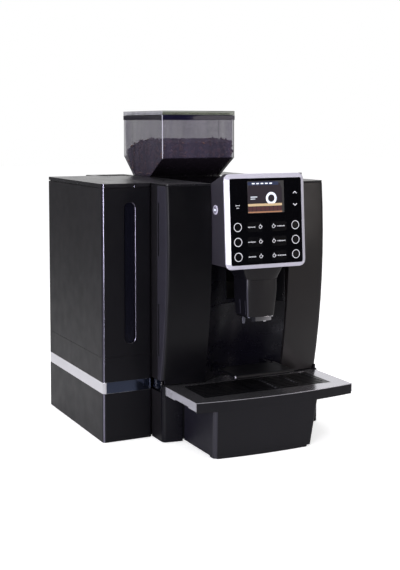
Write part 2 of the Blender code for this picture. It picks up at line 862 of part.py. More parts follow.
def build_bay(kit):
    """The concave splash panel with the spout's slot and the shelf's lugs."""
    xs = spread(column_x0 + gap, column_x1 - gap, 2 * bow_steps)
    top = head_bottom - gap
    zs = [foot_line + gap, *spread(shelf_hinge_z, bay_step_height, 2), bay_step_height + gap, top]
    rings = []
    for z in zs:
        ring = [(x, bay_y(x, z), z) for x in xs]
        ring += [(x, bay_y(x, z) + bay_panel, z) for x in reversed(xs)]
        rings.append(ring)
    panel = make_object("splash_panel", loft(rings), kit["satin"], smooth=True)
    half = spout_slot_width / 2
    combine(panel, box(body_x - half, body_x + half, spout_back_y, tray_back_y, spout_slot_bottom,
                       top + overrun))
    radius = shelf_knuckle_radius
    for x in lug_places():
        root = bay_y(x, shelf_hinge_z) + bay_panel / 2
        outline = [(root, shelf_hinge_z + radius)]
        outline += arc(shelf_hinge_y, shelf_hinge_z, radius, 90, 270, corner_steps * 2)
        outline.append((root, shelf_hinge_z - radius))
        combine(panel, profile(outline, x - shelf_lug_width / 2, x + shelf_lug_width / 2), "UNION")
    combine(panel, cylinder(shelf_rod_radius + gap, -shelf_half_width, shelf_half_width,
                            along_x(body_x, shelf_hinge_y, shelf_hinge_z), small_steps))


def lug_places():
    """Where the two hinge lugs stand across the bay."""
    return (body_x - shelf_half_width + shelf_lug_inset, body_x + shelf_half_width - shelf_lug_inset)


def build_shelf(kit):
    """The fold-up cup shelf with its hinge pin and the steel rod in its front edge."""
    hinge = (body_x, shelf_hinge_y, shelf_hinge_z)
    rod_y = shelf_hinge_y - shelf_depth + shelf_knuckle_radius
    half = shelf_half_width
    shelf = make_object("cup_shelf", box(body_x - half, body_x + half, rod_y, shelf_hinge_y,
                        shelf_top - shelf_thickness, shelf_top), kit["satin"], origin=hinge)
    rod_half = half + shelf_rod_overhang
    radius = shelf_knuckle_radius
    for y in (shelf_hinge_y, rod_y):
        combine(shelf, cylinder(radius, -half, half, along_x(body_x, y, shelf_hinge_z), small_steps), "UNION")
    for x in lug_places():
        near = shelf_lug_width / 2 + gap
        combine(shelf, box(x - near, x + near, shelf_hinge_y - 2 * radius, shelf_hinge_y + 2 * radius,
                           shelf_hinge_z - 2 * radius, shelf_hinge_z + 2 * radius))
    thin = shelf_rod_radius - gap
    points = [(thin, -rod_half), (shelf_rod_radius, gap - rod_half), (shelf_rod_radius, rod_half - gap),
              (thin, rod_half)]
    for name, y in (("shelf_pin", shelf_hinge_y), ("shelf_rod", rod_y)):
        place = along_x(body_x, y, shelf_hinge_z)
        combine(shelf, cylinder(shelf_rod_radius + gap, -half - overrun, half + overrun, place, small_steps))
        make_object(name, turned(points, place, small_steps), kit["chrome"],
                    origin=(body_x, y, shelf_hinge_z),
                    smooth=True)


def build_head(kit):
    """Head housing, bright frame and power button."""
    place = head_place()
    low = place @ Vector((0, 0, 0))
    high = place @ Vector((0, head_plane_height, 0))
    back = head_top_y + head_inner_depth
    x0, x1 = column_x0 + gap, column_x1 - gap
    outline = [(low.y, head_bottom), (back, head_bottom), (back, panel_top), (head_top_y, panel_top),
               (head_top_y, body_height), (high.y, high.z)]
    head = make_object("head_housing", profile(outline, x0, x1), kit["satin"])
    inner = [(low.y - overrun, head_bottom + wall), (back + overrun, head_bottom + wall),
             (back + overrun, panel_top - wall), (head_top_y, panel_top - wall),
             (high.y - overrun, high.z - wall)]
    combine(head, profile(inner, x0 + wall, x1 - wall))
    combine(head, plate(spout_outline(collar_proud + gap), head_bottom - overrun,
                        head_bottom + wall + overrun))
    power_y = wing_y(column_x0, power_height) - power_from_wing
    power_place = along_x(x0, power_y, power_height)
    combine(head, cylinder(power_radius + gap, -overrun, wall + overrun, power_place))
    points = [(power_radius - 2 * gap, -power_proud), (power_radius, 2 * gap - power_proud),
              (power_radius, power_depth / 2), (power_radius / 2, power_depth / 2),
              (power_radius / 2, power_depth)]
    make_object("power_button", turned(points, power_place), kit["silver"],
                origin=(x0, power_y, power_height),
                smooth=True)

    half = frame_half_width
    outer = rounded_rectangle(-half, half, -frame_drop, head_plane_height, frame_corner)
    edge = inset_outline(outer, frame_bevel)
    inner = rounded_rectangle(*glass_span(0), glass_corner)
    rings = [on_head(outer, gap), on_head(outer, frame_edge - frame_bevel), on_head(edge, frame_edge),
             on_head(inner, frame_stand), on_head(inner, gap)]
    make_object("display_frame", loft(rings, closed=True), kit["chrome"], smooth=True)


def glass_span(inset):
    """The glass opening in the bright frame, drawn in by a clearance."""
    half = frame_half_width - frame_side - inset
    return -half, half, frame_rail - frame_drop + inset, head_plane_height - frame_top_rail - inset


def button_places():
    """The six push buttons: left column first, from the top."""
    return [(side * button_side, button_first + row * button_pitch) for side in (-1, 1) for row in (2, 1, 0)]


def build_controls(kit):
    """Glass, screen, the plate with its six rings, and the six buttons."""
    glass = make_object("control_glass", head_plate(*glass_span(gap), glass_corner, glass_back, glass_face),
                        kit["glass"])
    half = screen_half_width
    combine(glass, head_plate(-half - gap, half + gap, screen_bottom - gap, screen_top + gap, 2 * gap,
                              glass_back - overrun, glass_face + overrun))
    screen = make_object("screen", head_plate(-half, half, screen_bottom, screen_top, gap,
                                              glass_back - 2 * gap,
                         glass_face - gap), kit["screen"])
    rim = screen_body_border
    combine(screen, head_plate(-half - rim, half + rim, screen_bottom - rim, screen_top + rim / 2, gap,
                               glass_back - screen_body_depth, glass_back - gap), "UNION")

    plate_front = glass_back - gap
    plate_back = plate_front - ring_plate
    reach = button_side + ring_radius + ring_plate_border
    low = button_first - ring_radius - ring_plate_border
    rings = make_object("button_rings", head_plate(-reach, reach, low, ring_plate_top, ring_plate_border,
                        plate_back, plate_front), kit["silver"], smooth=True)
    inside = ring_radius - ring_line
    cap = inside - button_clearance
    top = ring_proud
    flange_top = plate_back - glass_face - button_travel / 2
    flange = inside + button_flange
    for number, (x, y) in enumerate(button_places(), start=1):
        centre = head_place() @ Matrix.Translation((x, y, glass_face))
        combine(glass, cylinder(ring_radius + gap, -glass_thickness - overrun, overrun, centre))
        points = [(ring_radius, -glass_thickness - gap - ring_plate / 2), (ring_radius, top - gap),
                  (ring_radius - gap, top)]
        combine(rings, turned(points, centre), "UNION")
        combine(rings, cylinder(inside, plate_back - glass_face - overrun, top + overrun, centre))
        points = [(flange, flange_top - button_flange_thickness), (flange, flange_top), (cap, flange_top),
                  (cap, -gap), (cap - gap, 0)]
        make_object(f"button_{number}", turned(points, centre), kit["gloss"], origin=centre.translation,
                    smooth=True)


def spout_outline(grow, taper=0.0, forward=None):
    """The spout's plan: flat back and sides, a bowed nose that may grow by another amount."""
    half = spout_half_width - taper + grow
    back = spout_back_y + grow
    forward = grow if forward is None else forward
    shoulder = spout_nose_y + taper - forward + spout_nose
    points = [(body_x - half, back)]
    for turn in spread(math.pi, 2 * math.pi, corner_steps * 3):
        points.append((body_x + half * math.cos(turn), shoulder + spout_nose * math.sin(turn)))
    return points + [(body_x + half, back)]


def seam_z(y):
    """The seam between collar and spout dips at the nose."""
    share = (spout_nose_y + spout_nose - y) / spout_nose
    return spout_waist - collar_front_dip * max(0.0, min(1.0, share))


def build_spout(kit):
    """The spout that slides in its flared collar, with its bright outlet plate."""
    centre = (body_x, spout_back_y - spout_depth / 2, spout_bottom)
    straight = spout_waist - spout_travel / 2
    full = spout_outline(0)
    neck = spout_outline(-spout_neck)
    rings = [[(x, y, spout_bottom) for x, y in spout_outline(0, spout_taper)],
             [(x, y, straight) for x, y in full],
             [(x, y, seam_z(y) - spout_seam) for x, y in full],
             [(x, y, seam_z(y) - spout_seam) for x, y in neck],
             [(x, y, spout_top) for x, y in neck]]
    spout = make_object("spout_body", loft(rings), kit["satin"], origin=centre, smooth=True)
    combine(spout, plate(spout_outline(-spout_neck - wall, spout_taper), spout_bottom + wall,
                         spout_top + overrun))

    inner = spout_outline(collar_clearance - spout_neck)
    middle = spout_outline(collar_proud)
    flare = spout_outline(collar_flare, 0, collar_flare_front)
    under = head_bottom - gap
    rings = [[(x, y, seam_z(y)) for x, y in inner], [(x, y, seam_z(y)) for x, y in middle],
             [(x, y, collar_flare_top) for x, y in flare], [(x, y, under) for x, y in flare],
             [(x, y, under) for x, y in middle], [(x, y, head_bottom + wall) for x, y in middle],
             [(x, y, head_bottom + wall) for x, y in inner]]
    collar = make_object("spout_collar", loft(rings, closed=True), kit["satin"], smooth=True)
    rail_y = spout_back_y + collar_clearance
    combine(collar, box(body_x - rail_half_width, body_x + rail_half_width, rail_y, rail_y + rail_depth,
                        rail_bottom, under - gap), "UNION")

    top = spout_bottom - gap
    under = top - tip_plate
    tips = make_object("spout_nozzles", plate(spout_outline(-tip_inset, spout_taper), under, top),
                       kit["chrome"],
                       origin=centre, smooth=True)
    skirt = [point for point in spout_outline(-tip_inset,
                                              spout_taper) if abs(point[0] - body_x) < lip_half_width]
    skirt += [(x, y + lip_thickness) for x, y in reversed(skirt)]
    combine(tips, plate(skirt, top - lip_height, under + tip_plate / 2), "UNION")
    nozzle_y = spout_back_y - nozzle_from_back
    for side in (-1, 1):
        points = [(nozzle_radius * nozzle_tip_share, spout_bottom - nozzle_drop),
                  (nozzle_radius, spout_bottom - nozzle_drop / 2), (nozzle_radius, under + tip_plate / 2)]
        combine(tips, turned(points, upright(body_x + side * nozzle_side, nozzle_y), small_steps), "UNION")
        combine(tips, cylinder(water_nozzle_radius, spout_bottom - water_nozzle_drop, under + tip_plate / 2,
                               upright(body_x + side * nozzle_radius, nozzle_y), small_steps), "UNION")


def build_tray(kit):
    """The steel tray plate and the slotted grid that lies in its opening."""
    half = tray_half_width
    low = tray_under
    outline = [(x, tray_front_y(x)) for x in spread(body_x - half, body_x + half, 2 * bow_steps)]
    outline += [(body_x + half, tray_back_y), (body_x - half, tray_back_y)]
    steel = make_object("tray_frame", plate(outline, low, tray_top), kit["steel"],
                        origin=(body_x, front_y, tray_top))
    corner_y = tray_front_y(body_x + half)
    for side in (-1, 1):
        x0, x1 = sorted((body_x + side * half, body_x + side * (half - tray_sheet)))
        combine(steel, box(x0, x1, corner_y + tray_sheet / 4, tray_back_y - gap, tray_skirt_bottom,
                           low + tray_sheet / 2), "UNION")
    y0 = front_y + opening_front_inset
    y1 = tray_back_y - opening_back_inset
    combine(steel, box(body_x - opening_half_width, body_x + opening_half_width, y0, y1, low - overrun,
                       tray_top + overrun))
    notch_y = corner_y + skirt_notch_front
    combine(steel, box(body_x - half - overrun, body_x - half + overrun, notch_y,
                       notch_y + skirt_notch_length,
                       tray_skirt_bottom - overrun, tray_skirt_bottom + skirt_notch_depth))

    y0, y1 = y0 + 2 * gap, y1 - 2 * gap
    half = opening_half_width - 2 * gap
    top = tray_top - gap
    grid = make_object("drip_grid", box(body_x - half, body_x + half, y0, y1, top - grid_sheet, top),
                       kit["grid"],
                       origin=(body_x, (y0 + y1) / 2, top))
    foot = tray_skirt_bottom + pan_wall + 2 * gap
    post = grid_post / 2
    for x in (body_x - half + grid_rib / 2, body_x + half - grid_rib / 2):
        for y in (y0 + grid_rib, y1 - grid_rib):
            combine(grid, box(x - post, x + post, y - post, y + post, foot, top - grid_sheet / 2), "UNION")
    slots = bmesh.new()
    length = (2 * half - (grid_columns + 1) * grid_rib) / grid_columns
    first = (y0 + y1 - (grid_rows - 1) * grid_row_pitch) / 2
    for column in range(grid_columns):
        x = body_x - half + grid_rib + column * (length + grid_rib)
        for row in range(grid_rows):
            y = first + row * grid_row_pitch
            trim = grid_rib if row in (0, grid_rows - 1) else 0
            box(x + trim, x + length - trim, y - grid_slot_width / 2, y + grid_slot_width / 2,
                top - grid_sheet - overrun / 4, top + overrun, slots)
    combine(grid, slots)


def drawer_edges(z):
    """The drawer front's left and right edge at a height."""
    share = (tray_skirt_bottom - z) / (tray_skirt_bottom - drawer_bottom)
    return drawer_x0 + drawer_left_taper * share, drawer_x1 - drawer_right_taper * share


def drawer_front_y(x, z):
    """The drawer front's face, which falls back towards its foot."""
    return tray_front_y(x,
                        gap) + drawer_set_back * (tray_skirt_bottom - z) / (tray_skirt_bottom - drawer_bottom)


def drawer_outline(z):
    """The drawer front's plan at a height, with rounded corners that run back."""
    x0, x1 = drawer_edges(z)
    corner = drawer_corner
    near, far = x0 + corner, x1 - corner
    points = [(x0, drawer_front_y(x0, z) + drawer_return)]
    points += arc(near, drawer_front_y(near, z) + corner, corner, 180, 270, corner_steps)
    points += [(x, drawer_front_y(x, z)) for x in spread(near, far, bow_steps)[1:-1]]
    points += arc(far, drawer_front_y(far, z) + corner, corner, 270, 360, corner_steps)
    points += [(x1, drawer_front_y(x1, z) + drawer_return), (x1 - tray_band,
                                                             drawer_front_y(x1, z) + drawer_return)]
    points += [(x1 - tray_band, drawer_front_y(x1, z) + corner + tray_band)]
    points += [(x, drawer_front_y(x, z) + tray_band) for x in spread(far, near, bow_steps)]
    points += [(x0 + tray_band, drawer_front_y(x0, z) + corner + tray_band),
               (x0 + tray_band, drawer_front_y(x0, z) + drawer_return)]
    return points


def build_tray_front(kit):
    """The dark front: a band that hangs lower than the skirts, and the drawer's front."""
    def strip(x0, x1, near, z0, z1):
        xs = spread(x0, x1, 2 * bow_steps)
        outline = [(x, tray_front_y(x, near)) for x in xs]
        return plate(outline + [(x, tray_front_y(x, gap) + tray_band) for x in reversed(xs)], z0, z1)

    half = tray_half_width - tray_sheet - gap
    front = make_object("tray_front", strip(body_x - half, body_x + half, gap,
                                            tray_skirt_bottom - fascia_drop, tray_under - gap),
                        kit["front"], origin=(body_x, front_y, tray_top), smooth=True)
    rings = [[(x, y, z) for x, y in drawer_outline(z)] for z in spread(drawer_bottom, tray_skirt_bottom, 3)]
    combine(front, loft(rings), "UNION")
    x0, x1 = drawer_edges(drawer_bottom)
    xs = spread(x0 + plinth_left_inset, x1 - plinth_right_inset, bow_steps)
    foot = [(x, drawer_front_y(x, drawer_bottom) + plinth_front_inset) for x in xs]
    foot[0] = (xs[0], foot[0][1] + drawer_corner)
    foot.insert(1, (xs[0] + drawer_corner, drawer_front_y(xs[0] + drawer_corner, drawer_bottom)
                    + plinth_front_inset))
    foot += [(x, drawer_front_y(x, drawer_bottom) + plinth_depth) for x in (xs[-1], xs[0])]
    combine(front, plate(foot, plinth_bottom, plinth_top), "UNION")
    x0, x1 = drawer_edges(tray_skirt_bottom)
    combine(front, strip(x0 + drawer_corner, x1 - drawer_corner, gap + tray_band / 2,
                         tray_skirt_bottom - tray_band,
                         tray_skirt_bottom + tray_band), "UNION")


def build_drip_tray(kit):
    """The shallow pan under the grid with its deep box, and the grounds container."""
    centre = (body_x, front_y, tray_top)
    pan_half = tray_half_width - tray_sheet - 2 * gap
    pan_top = tray_under - gap
    pan_bottom = tray_skirt_bottom + gap
    back = tray_back_y - gap
    inset = tray_band + 3 * gap

    def pan_outline(shrink):
        xs = spread(body_x - pan_half + shrink, body_x + pan_half - shrink, 2 * bow_steps)
        front = [(x, tray_front_y(x, inset + shrink)) for x in xs]
        return front + [(xs[-1], back - shrink), (xs[0], back - shrink)]

    pan = make_object("drip_tray", plate(pan_outline(0), pan_bottom, pan_top), kit["satin"], origin=centre)
    x0, x1 = drawer_edges(drawer_bottom)
    box_back = tray_back_y + box_behind_tray
    side_gap = tray_band + 2 * gap
    face = max(drawer_front_y(x, drawer_bottom) for x in (x0, x1))
    front_y0 = face + side_gap
    wrapped = face + drawer_return + 2 * gap
    in0, in1 = x0 + side_gap, x1 - side_gap
    outline = [(in0, front_y0 + drawer_corner), (in0 + drawer_corner, front_y0),
               (in1 - drawer_corner, front_y0),
               (in1, front_y0 + drawer_corner), (in1, wrapped), (x1, wrapped), (x1, box_back), (x0, box_back),
               (x0, wrapped), (in0, wrapped)]
    combine(pan, plate(outline, box_bottom, pan_bottom + pan_wall / 2), "UNION")
    combine(pan, plate(pan_outline(pan_wall), pan_bottom + pan_wall, pan_top + overrun))
    t = box_wall
    well = [(in0 + t, front_y0 + drawer_corner + t), (in0 + t + drawer_corner, front_y0 + t),
            (in1 - t - drawer_corner, front_y0 + t), (in1 - t, front_y0 + drawer_corner + t),
            (in1 - t, box_back - t),
            (in0 + t, box_back - t)]
    combine(pan, plate(well, box_bottom + t, pan_top + overrun))

    y0 = tray_back_y + grounds_front_gap
    y1 = box_back - t - 2 * gap
    half = (drawer_x1 - drawer_x0) / 2 - grounds_side_inset
    bottom = box_bottom + t + gap
    grounds = make_object("grounds_container", plate(rounded_rectangle(drawer_x - half, drawer_x + half, y0,
                                                                       y1,
                          drawer_corner), bottom, grounds_top), kit["grey"], origin=centre)
    t = grounds_wall
    combine(grounds, plate(rounded_rectangle(drawer_x - half + t, drawer_x + half - t, y0 + t, y1 - t,
                           drawer_corner - t), bottom + t, grounds_top + overrun))


def build_hopper(kit):
    """The smoked bean hopper, its lid and the beans in it."""
    bottom = body_height + gap
    outline = [(seat_y0, bottom), (seat_y1, bottom), (hopper_y1, hopper_shoulder), (hopper_y1, hopper_top),
               (hopper_y0, hopper_top), (hopper_y0, hopper_shoulder)]
    hopper = make_object("hopper_body", profile(outline, column_x0, column_x1), kit["smoke"])
    proud = hopper_rim_proud
    combine(hopper, box(column_x0 - proud, column_x1 + proud, hopper_y0 - proud, hopper_y1 + proud,
                        hopper_top - hopper_rim_height, hopper_top), "UNION")
    axis = upright(body_x, throat_y)
    neck_bottom = shelf_height + sheet + grinder_height + 2 * gap
    combine(hopper, cylinder(throat_radius, neck_bottom, bottom + hopper_wall / 2, axis), "UNION")
    inner = inset_outline(outline, hopper_wall)
    inner[3] = (inner[3][0], hopper_top + overrun)
    inner[4] = (inner[4][0], hopper_top + overrun)
    combine(hopper, profile(inner, column_x0 + hopper_wall, column_x1 - hopper_wall))
    combine(hopper, cylinder(throat_radius - throat_wall, neck_bottom - overrun, bottom + overrun, axis))

    room = hopper_wall + gap
    heap = inset_outline(outline, room)[:3]
    middle_y = (hopper_y0 + hopper_y1) / 2
    heap += [(hopper_y1 - room, bean_level - bean_fall), (middle_y + hopper_depth / 6, bean_level),
             (middle_y - hopper_depth / 6, bean_level + bean_mound),
             (hopper_y0 + room, bean_level)]
    heap.append(inset_outline(outline, room)[5])
    make_object("coffee_beans", profile(heap, column_x0 + room, column_x1 - room), kit["beans"])

    low = hopper_top + gap
    lid = make_object("hopper_lid", box(column_x0 - proud, column_x1 + proud, hopper_y0 - proud,
                                        hopper_y1 + proud,
                      low, hopper_lid_top), kit["smoke"], origin=(body_x, middle_y, low))
    room = hopper_wall + 2 * gap
    combine(lid, box(column_x0 + room, column_x1 - room, hopper_y0 + room, hopper_y1 - room,
                     low - hopper_lid_spigot, low + hopper_lid_rim), "UNION")
    room += hopper_wall
    combine(lid, box(column_x0 + room, column_x1 - room, hopper_y0 + room, hopper_y1 - room,
                     low - hopper_lid_spigot - overrun, hopper_lid_top - hopper_lid_rim))


def build_works(kit):
    """The inner frame, brew unit, water heater and pump."""
    left = body_x0 + wall + gap
    right = body_x1 - wall - gap
    y = frame_y
    front = bay_y(body_x, foot_line) + bay_panel + deck_from_bay
    outline = [(front, deck_height), (y, deck_height), (y, shelf_height), (works_back_y, shelf_height),
               (works_back_y, shelf_height + sheet), (y - sheet, shelf_height + sheet),
               (y - sheet, deck_height + sheet), (front, deck_height + sheet)]
    frame = make_object("inner_frame", profile(outline, left, right), kit["plate"])
    brew_y1 = y - sheet - brew_from_frame
    brew_y0 = brew_y1 - brew_depth
    brew_y = (brew_y0 + brew_y1) / 2
    chute_y = brew_y0 - chute_depth
    combine(frame, box(drawer_x - chute_width / 2, drawer_x + chute_width / 2, chute_y, brew_y0 - sheet,
                       deck_height - overrun, deck_height + sheet + overrun))
    combine(frame, cylinder(burr_shaft_radius + 2 * gap, shelf_height - overrun,
                            shelf_height + sheet + overrun,
                            upright(body_x, throat_y), small_steps))
    hose_x = body_x + brew_width / 4
    hose_z = deck_top + heater_height + hose_bend
    combine(frame, cylinder(hose_radius + hose_clearance, -sheet - overrun, overrun,
                            along_y(hose_x, y, hose_z),
                            small_steps))

    brew = make_object("brew_frame", box(body_x - brew_width / 2, body_x + brew_width / 2, brew_y0, brew_y1,
                       deck_top, deck_top + brew_height), kit["grey"])
    axis = upright(body_x, brew_y, deck_top)
    combine(brew, cylinder(brew_bore, brew_floor, brew_height + overrun, axis))
    combine(brew, cylinder(brew_rod_radius + gap, -overrun, brew_floor + overrun, axis, small_steps))
    piston = brew_bore - brew_piston_clearance
    low = brew_floor + brew_piston_rest
    points = [(brew_rod_radius, gap), (brew_rod_radius, low), (piston, low),
              (piston, low + brew_piston_height)]
    make_object("brew_piston", turned(points, axis), kit["steel"], origin=(body_x, brew_y, deck_top),
                smooth=True)

    motor_x = body_x + brew_width / 2 + gap + brew_motor_radius
    points = [(brew_motor_radius / 3, -overrun), (brew_motor_radius / 3, 0), (brew_motor_radius, 0),
              (brew_motor_radius, brew_motor_length)]
    make_object("brew_motor", turned(points, along_y(motor_x, brew_y0 + overrun,
                                                     deck_top + brew_motor_radius),
                small_steps), kit["steel"], smooth=True)

    x0, x1 = hose_x - heater_width / 2, hose_x + heater_width / 2
    heater = make_object("thermoblock", box(x0, x1, y + gap, y + gap + heater_depth, deck_top,
                         deck_top + heater_height), kit["plate"])
    grooves = bmesh.new()
    for z in spread(deck_top, deck_top + heater_height, heater_fins + 1)[1:-1]:
        box(x0 - overrun, x1 + overrun, y + heater_depth - overrun, y + heater_depth + overrun, z - sheet / 2,
            z + sheet / 2, grooves)
    combine(heater, grooves)

    end = pump_end_length
    points = [(pump_end_radius, -end), (pump_end_radius, 0), (pump_radius, 0), (pump_radius, pump_length),
              (pump_end_radius, pump_length), (pump_end_radius, pump_length + end)]
    make_object("pump", turned(points, along_x(body_x - pump_length / 2, pump_y, pump_z), small_steps),
                kit["steel"],
                smooth=True)
    build_grinder(kit)
    build_board(kit, left)
    build_hoses(kit, hose_x, hose_z, brew_y1)


def build_grinder(kit):
    """The grinder under the hopper: housing, burrs, shaft and motor."""
    axis = upright(body_x, throat_y)
    low = shelf_height + sheet + gap
    top = low + grinder_height
    housing = make_object("grinder_housing", cylinder(grinder_radius, low, top, axis), kit["grey"],
                          smooth=True)
    bore = grinder_radius - grinder_wall
    combine(housing, cylinder(bore, low + grinder_wall, top - grinder_wall, axis))
    combine(housing, cylinder(throat_radius - throat_wall, top - grinder_wall - overrun, top + overrun, axis))
    combine(housing, cylinder(burr_shaft_radius + 2 * gap, low - overrun, low + grinder_wall + overrun, axis,
                              small_steps))
    ceiling = top - grinder_wall - gap
    teeth = ceiling - burr_height
    outside = bore - gap
    points = [(burr_bore, ceiling), (burr_bore, teeth), (burr_radius, teeth),
              (burr_radius, teeth + burr_height / 2),
              (outside, teeth + burr_height / 2), (outside, ceiling)]
    make_object("fixed_burr", turned(points, axis, bored=True), kit["steel"], smooth=True)
    shaft_low = shelf_height - gap
    carrier = low + grinder_wall + 2 * gap
    points = [(burr_shaft_radius, shaft_low), (burr_shaft_radius, carrier), (burr_radius, carrier),
              (burr_radius, teeth - burr_gap), (burr_bore, teeth - burr_gap), (burr_shaft_radius, teeth)]
    make_object("turning_burr", turned(points, axis), kit["steel"], origin=(body_x, throat_y, shaft_low),
                smooth=True)
    top = shelf_height - 2 * gap
    points = [(motor_radius - overrun, top - motor_height), (motor_radius, top - motor_height + overrun),
              (motor_radius, top)]
    make_object("grinder_motor", turned(points, axis), kit["steel"], smooth=True)


def build_board(kit, left):
    """The control board on its four posts."""
    face = left + board_stand
    y0 = return_y + board_from_return
    board = make_object("control_board", box(face, face + board_thickness, y0, y0 + board_length,
                                             board_bottom,
                        board_bottom + board_height), kit["board"])
    for y in (y0 + board_stand, y0 + board_length - board_stand):
        for z in (board_bottom + board_stand, board_bottom + board_height - board_stand):
            combine(board, cylinder(board_post_radius, 0, board_stand + board_thickness / 2,
                                    along_x(left, y, z),
                                    small_steps // 2), "UNION")
    for along, up, size, tall in chip_shares:
        y = y0 + along * board_length
        z = board_bottom + up * board_height
        half = size * board_height / 2
        combine(board, box(face + board_thickness / 2, face + board_thickness + tall * board_height, y - half,
                           y + half, z - half, z + half), "UNION")


def smooth_route(points, count):
    """Evenly numbered points along a Catmull-Rom curve through the route."""
    route = [Vector(point) for point in points]
    padded = [2 * route[0] - route[1]] + route + [2 * route[-1] - route[-2]]
    spans = len(route) - 1
    result = []
    for i in range(count):
        along = spans * i / (count - 1)
        k = min(int(along), spans - 1)
        t = along - k
        a, b, c, d = padded[k:k + 4]
        result.append((2 * b + (c - a) * t + (2 * a - 5 * b + 4 * c - d) * t ** 2
                       + (3 * b - a - 3 * c + d) * t ** 3) / 2)
    return result


def build_hoses(kit, hose_x, hose_z, brew_y1):
    """Water hoses: tank socket to pump, pump to heater, heater to brew unit."""
    y, z = pump_y, pump_z
    bend = hose_bend
    socket_z = tank_seam_height - wall - socket_height - 2 * gap
    pump_x0 = body_x - pump_length / 2 - pump_end_length
    pump_x1 = body_x + pump_length / 2 + pump_end_length
    heater_x1 = hose_x + heater_width / 2
    heater_y = frame_y + gap + heater_depth / 2
    heater_z = deck_top + heater_height / 3
    heater_top = deck_top + heater_height
    brew_top = deck_top + brew_height
    landing = brew_y1 - (brew_depth / 2 - brew_bore) / 2
    routes = {
        "hose_tank_to_pump": [
            (tank_x, y, socket_z - gap), (tank_x, y, socket_z - bend), (tank_x, y, z + 2 * bend),
            (tank_x + bend / 3, y, z + bend / 2), (tank_x + bend, y, z), (tank_x1 - bend / 2, y, z),
            (body_x0 + bend, y, z), (pump_x0 - gap, y, z)],
        "hose_pump_to_heater": [
            (pump_x1 + gap, y, z), (pump_x1 + bend / 4, y, z), (pump_x1 + bend / 2, y, z),
            (pump_x1 + bend, y, z + bend / 2),
            (pump_x1 + bend, y, z + 2 * bend), (pump_x1 + bend, heater_y + bend / 2, heater_z - bend),
            (pump_x1 + bend / 2, heater_y, heater_z), (heater_x1 + bend / 4, heater_y, heater_z),
            (heater_x1 + gap, heater_y, heater_z)],
        "hose_heater_to_brew": [
            (hose_x, heater_y, heater_top + gap), (hose_x, heater_y, heater_top + bend / 4),
            (hose_x, heater_y, heater_top + bend / 2), (hose_x, heater_y - bend / 2, hose_z),
            (hose_x, frame_y, hose_z), (hose_x, frame_y - sheet, hose_z),
            (hose_x, frame_y - sheet - bend / 2, hose_z + bend / 2),
            (hose_x, landing + bend / 2, brew_top + bend), (hose_x, landing, brew_top + bend / 2),
            (hose_x, landing, brew_top + bend / 4), (hose_x, landing, brew_top + gap)],
    }
    for name, route in routes.items():
        curve = bpy.data.curves.new(name, "CURVE")
        curve.dimensions = "3D"
        curve.bevel_depth = hose_radius
        curve.bevel_resolution = 2
        curve.use_fill_caps = True
        curve.materials.append(kit["hose"])
        points = smooth_route(route, hose_points)
        spline = curve.splines.new("POLY")
        spline.points.add(len(points) - 1)
        for target, point in zip(spline.points, points):
            target.co = (*point, 1.0)
        hose = bpy.data.objects.new(name, curve)
        bpy.context.scene.collection.objects.link(hose)


def build_machine():
    """Make every piece."""
    for old in list(bpy.data.objects):
        bpy.data.objects.remove(old)
    kit = {
        "satin": finish("satin_black", (0.017, 0.016, 0.020), 0.38),
        "gloss": finish("gloss_black", (0.008, 0.008, 0.010), 0.10),
        "shadow": finish("base_black", (0.010, 0.010, 0.011), 0.70),
        "front": finish("tray_front_grey", (0.020, 0.020, 0.024), 0.45),
        "grid": finish("grid_black", (0.008, 0.008, 0.009), 0.35),
        "chrome": finish("chrome", (0.78, 0.78, 0.80), 0.12, 1.0),
        "silver": finish("silver", (0.70, 0.70, 0.72), 0.25, 1.0),
        "steel": finish("brushed_steel", (0.60, 0.60, 0.62), 0.28, 1.0),
        "plate": finish("zinc_plate", (0.42, 0.43, 0.44), 0.45, 1.0),
        "grey": finish("works_grey", (0.09, 0.09, 0.10), 0.55),
        "glass": finish("panel_glass", (0.004, 0.004, 0.005), 0.06),
        "screen": finish("screen", (0.10, 0.13, 0.17), 0.20),
        "smoke": finish("smoked_clear", (0.05, 0.05, 0.055), 0.12),
        "beans": finish("coffee_beans", (0.035, 0.018, 0.010), 0.50),
        "board": finish("board_green", (0.010, 0.090, 0.035), 0.50),
        "hose": finish("silicone_hose", (0.55, 0.55, 0.52), 0.50),
    }
    build_base(kit)
    build_tank(kit)
    build_wings(kit)
    build_sides(kit)
    build_lower_front(kit)
    build_covers(kit)
    build_bay(kit)
    build_shelf(kit)
    build_head(kit)
    build_controls(kit)
    build_spout(kit)
    build_tray(kit)
    build_tray_front(kit)
    build_drip_tray(kit)
    build_hopper(kit)
    build_works(kit)


build_machine()
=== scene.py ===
"""Dresses the bean to cup coffee machine: finishes, fine pieces, light and camera."""
import json
import logging
import math
import random
from contextlib import contextmanager
from dataclasses import dataclass
from enum import Enum
from typing import Callable, Iterator, Sequence

import bmesh
import bpy
from mathutils import Matrix, Vector

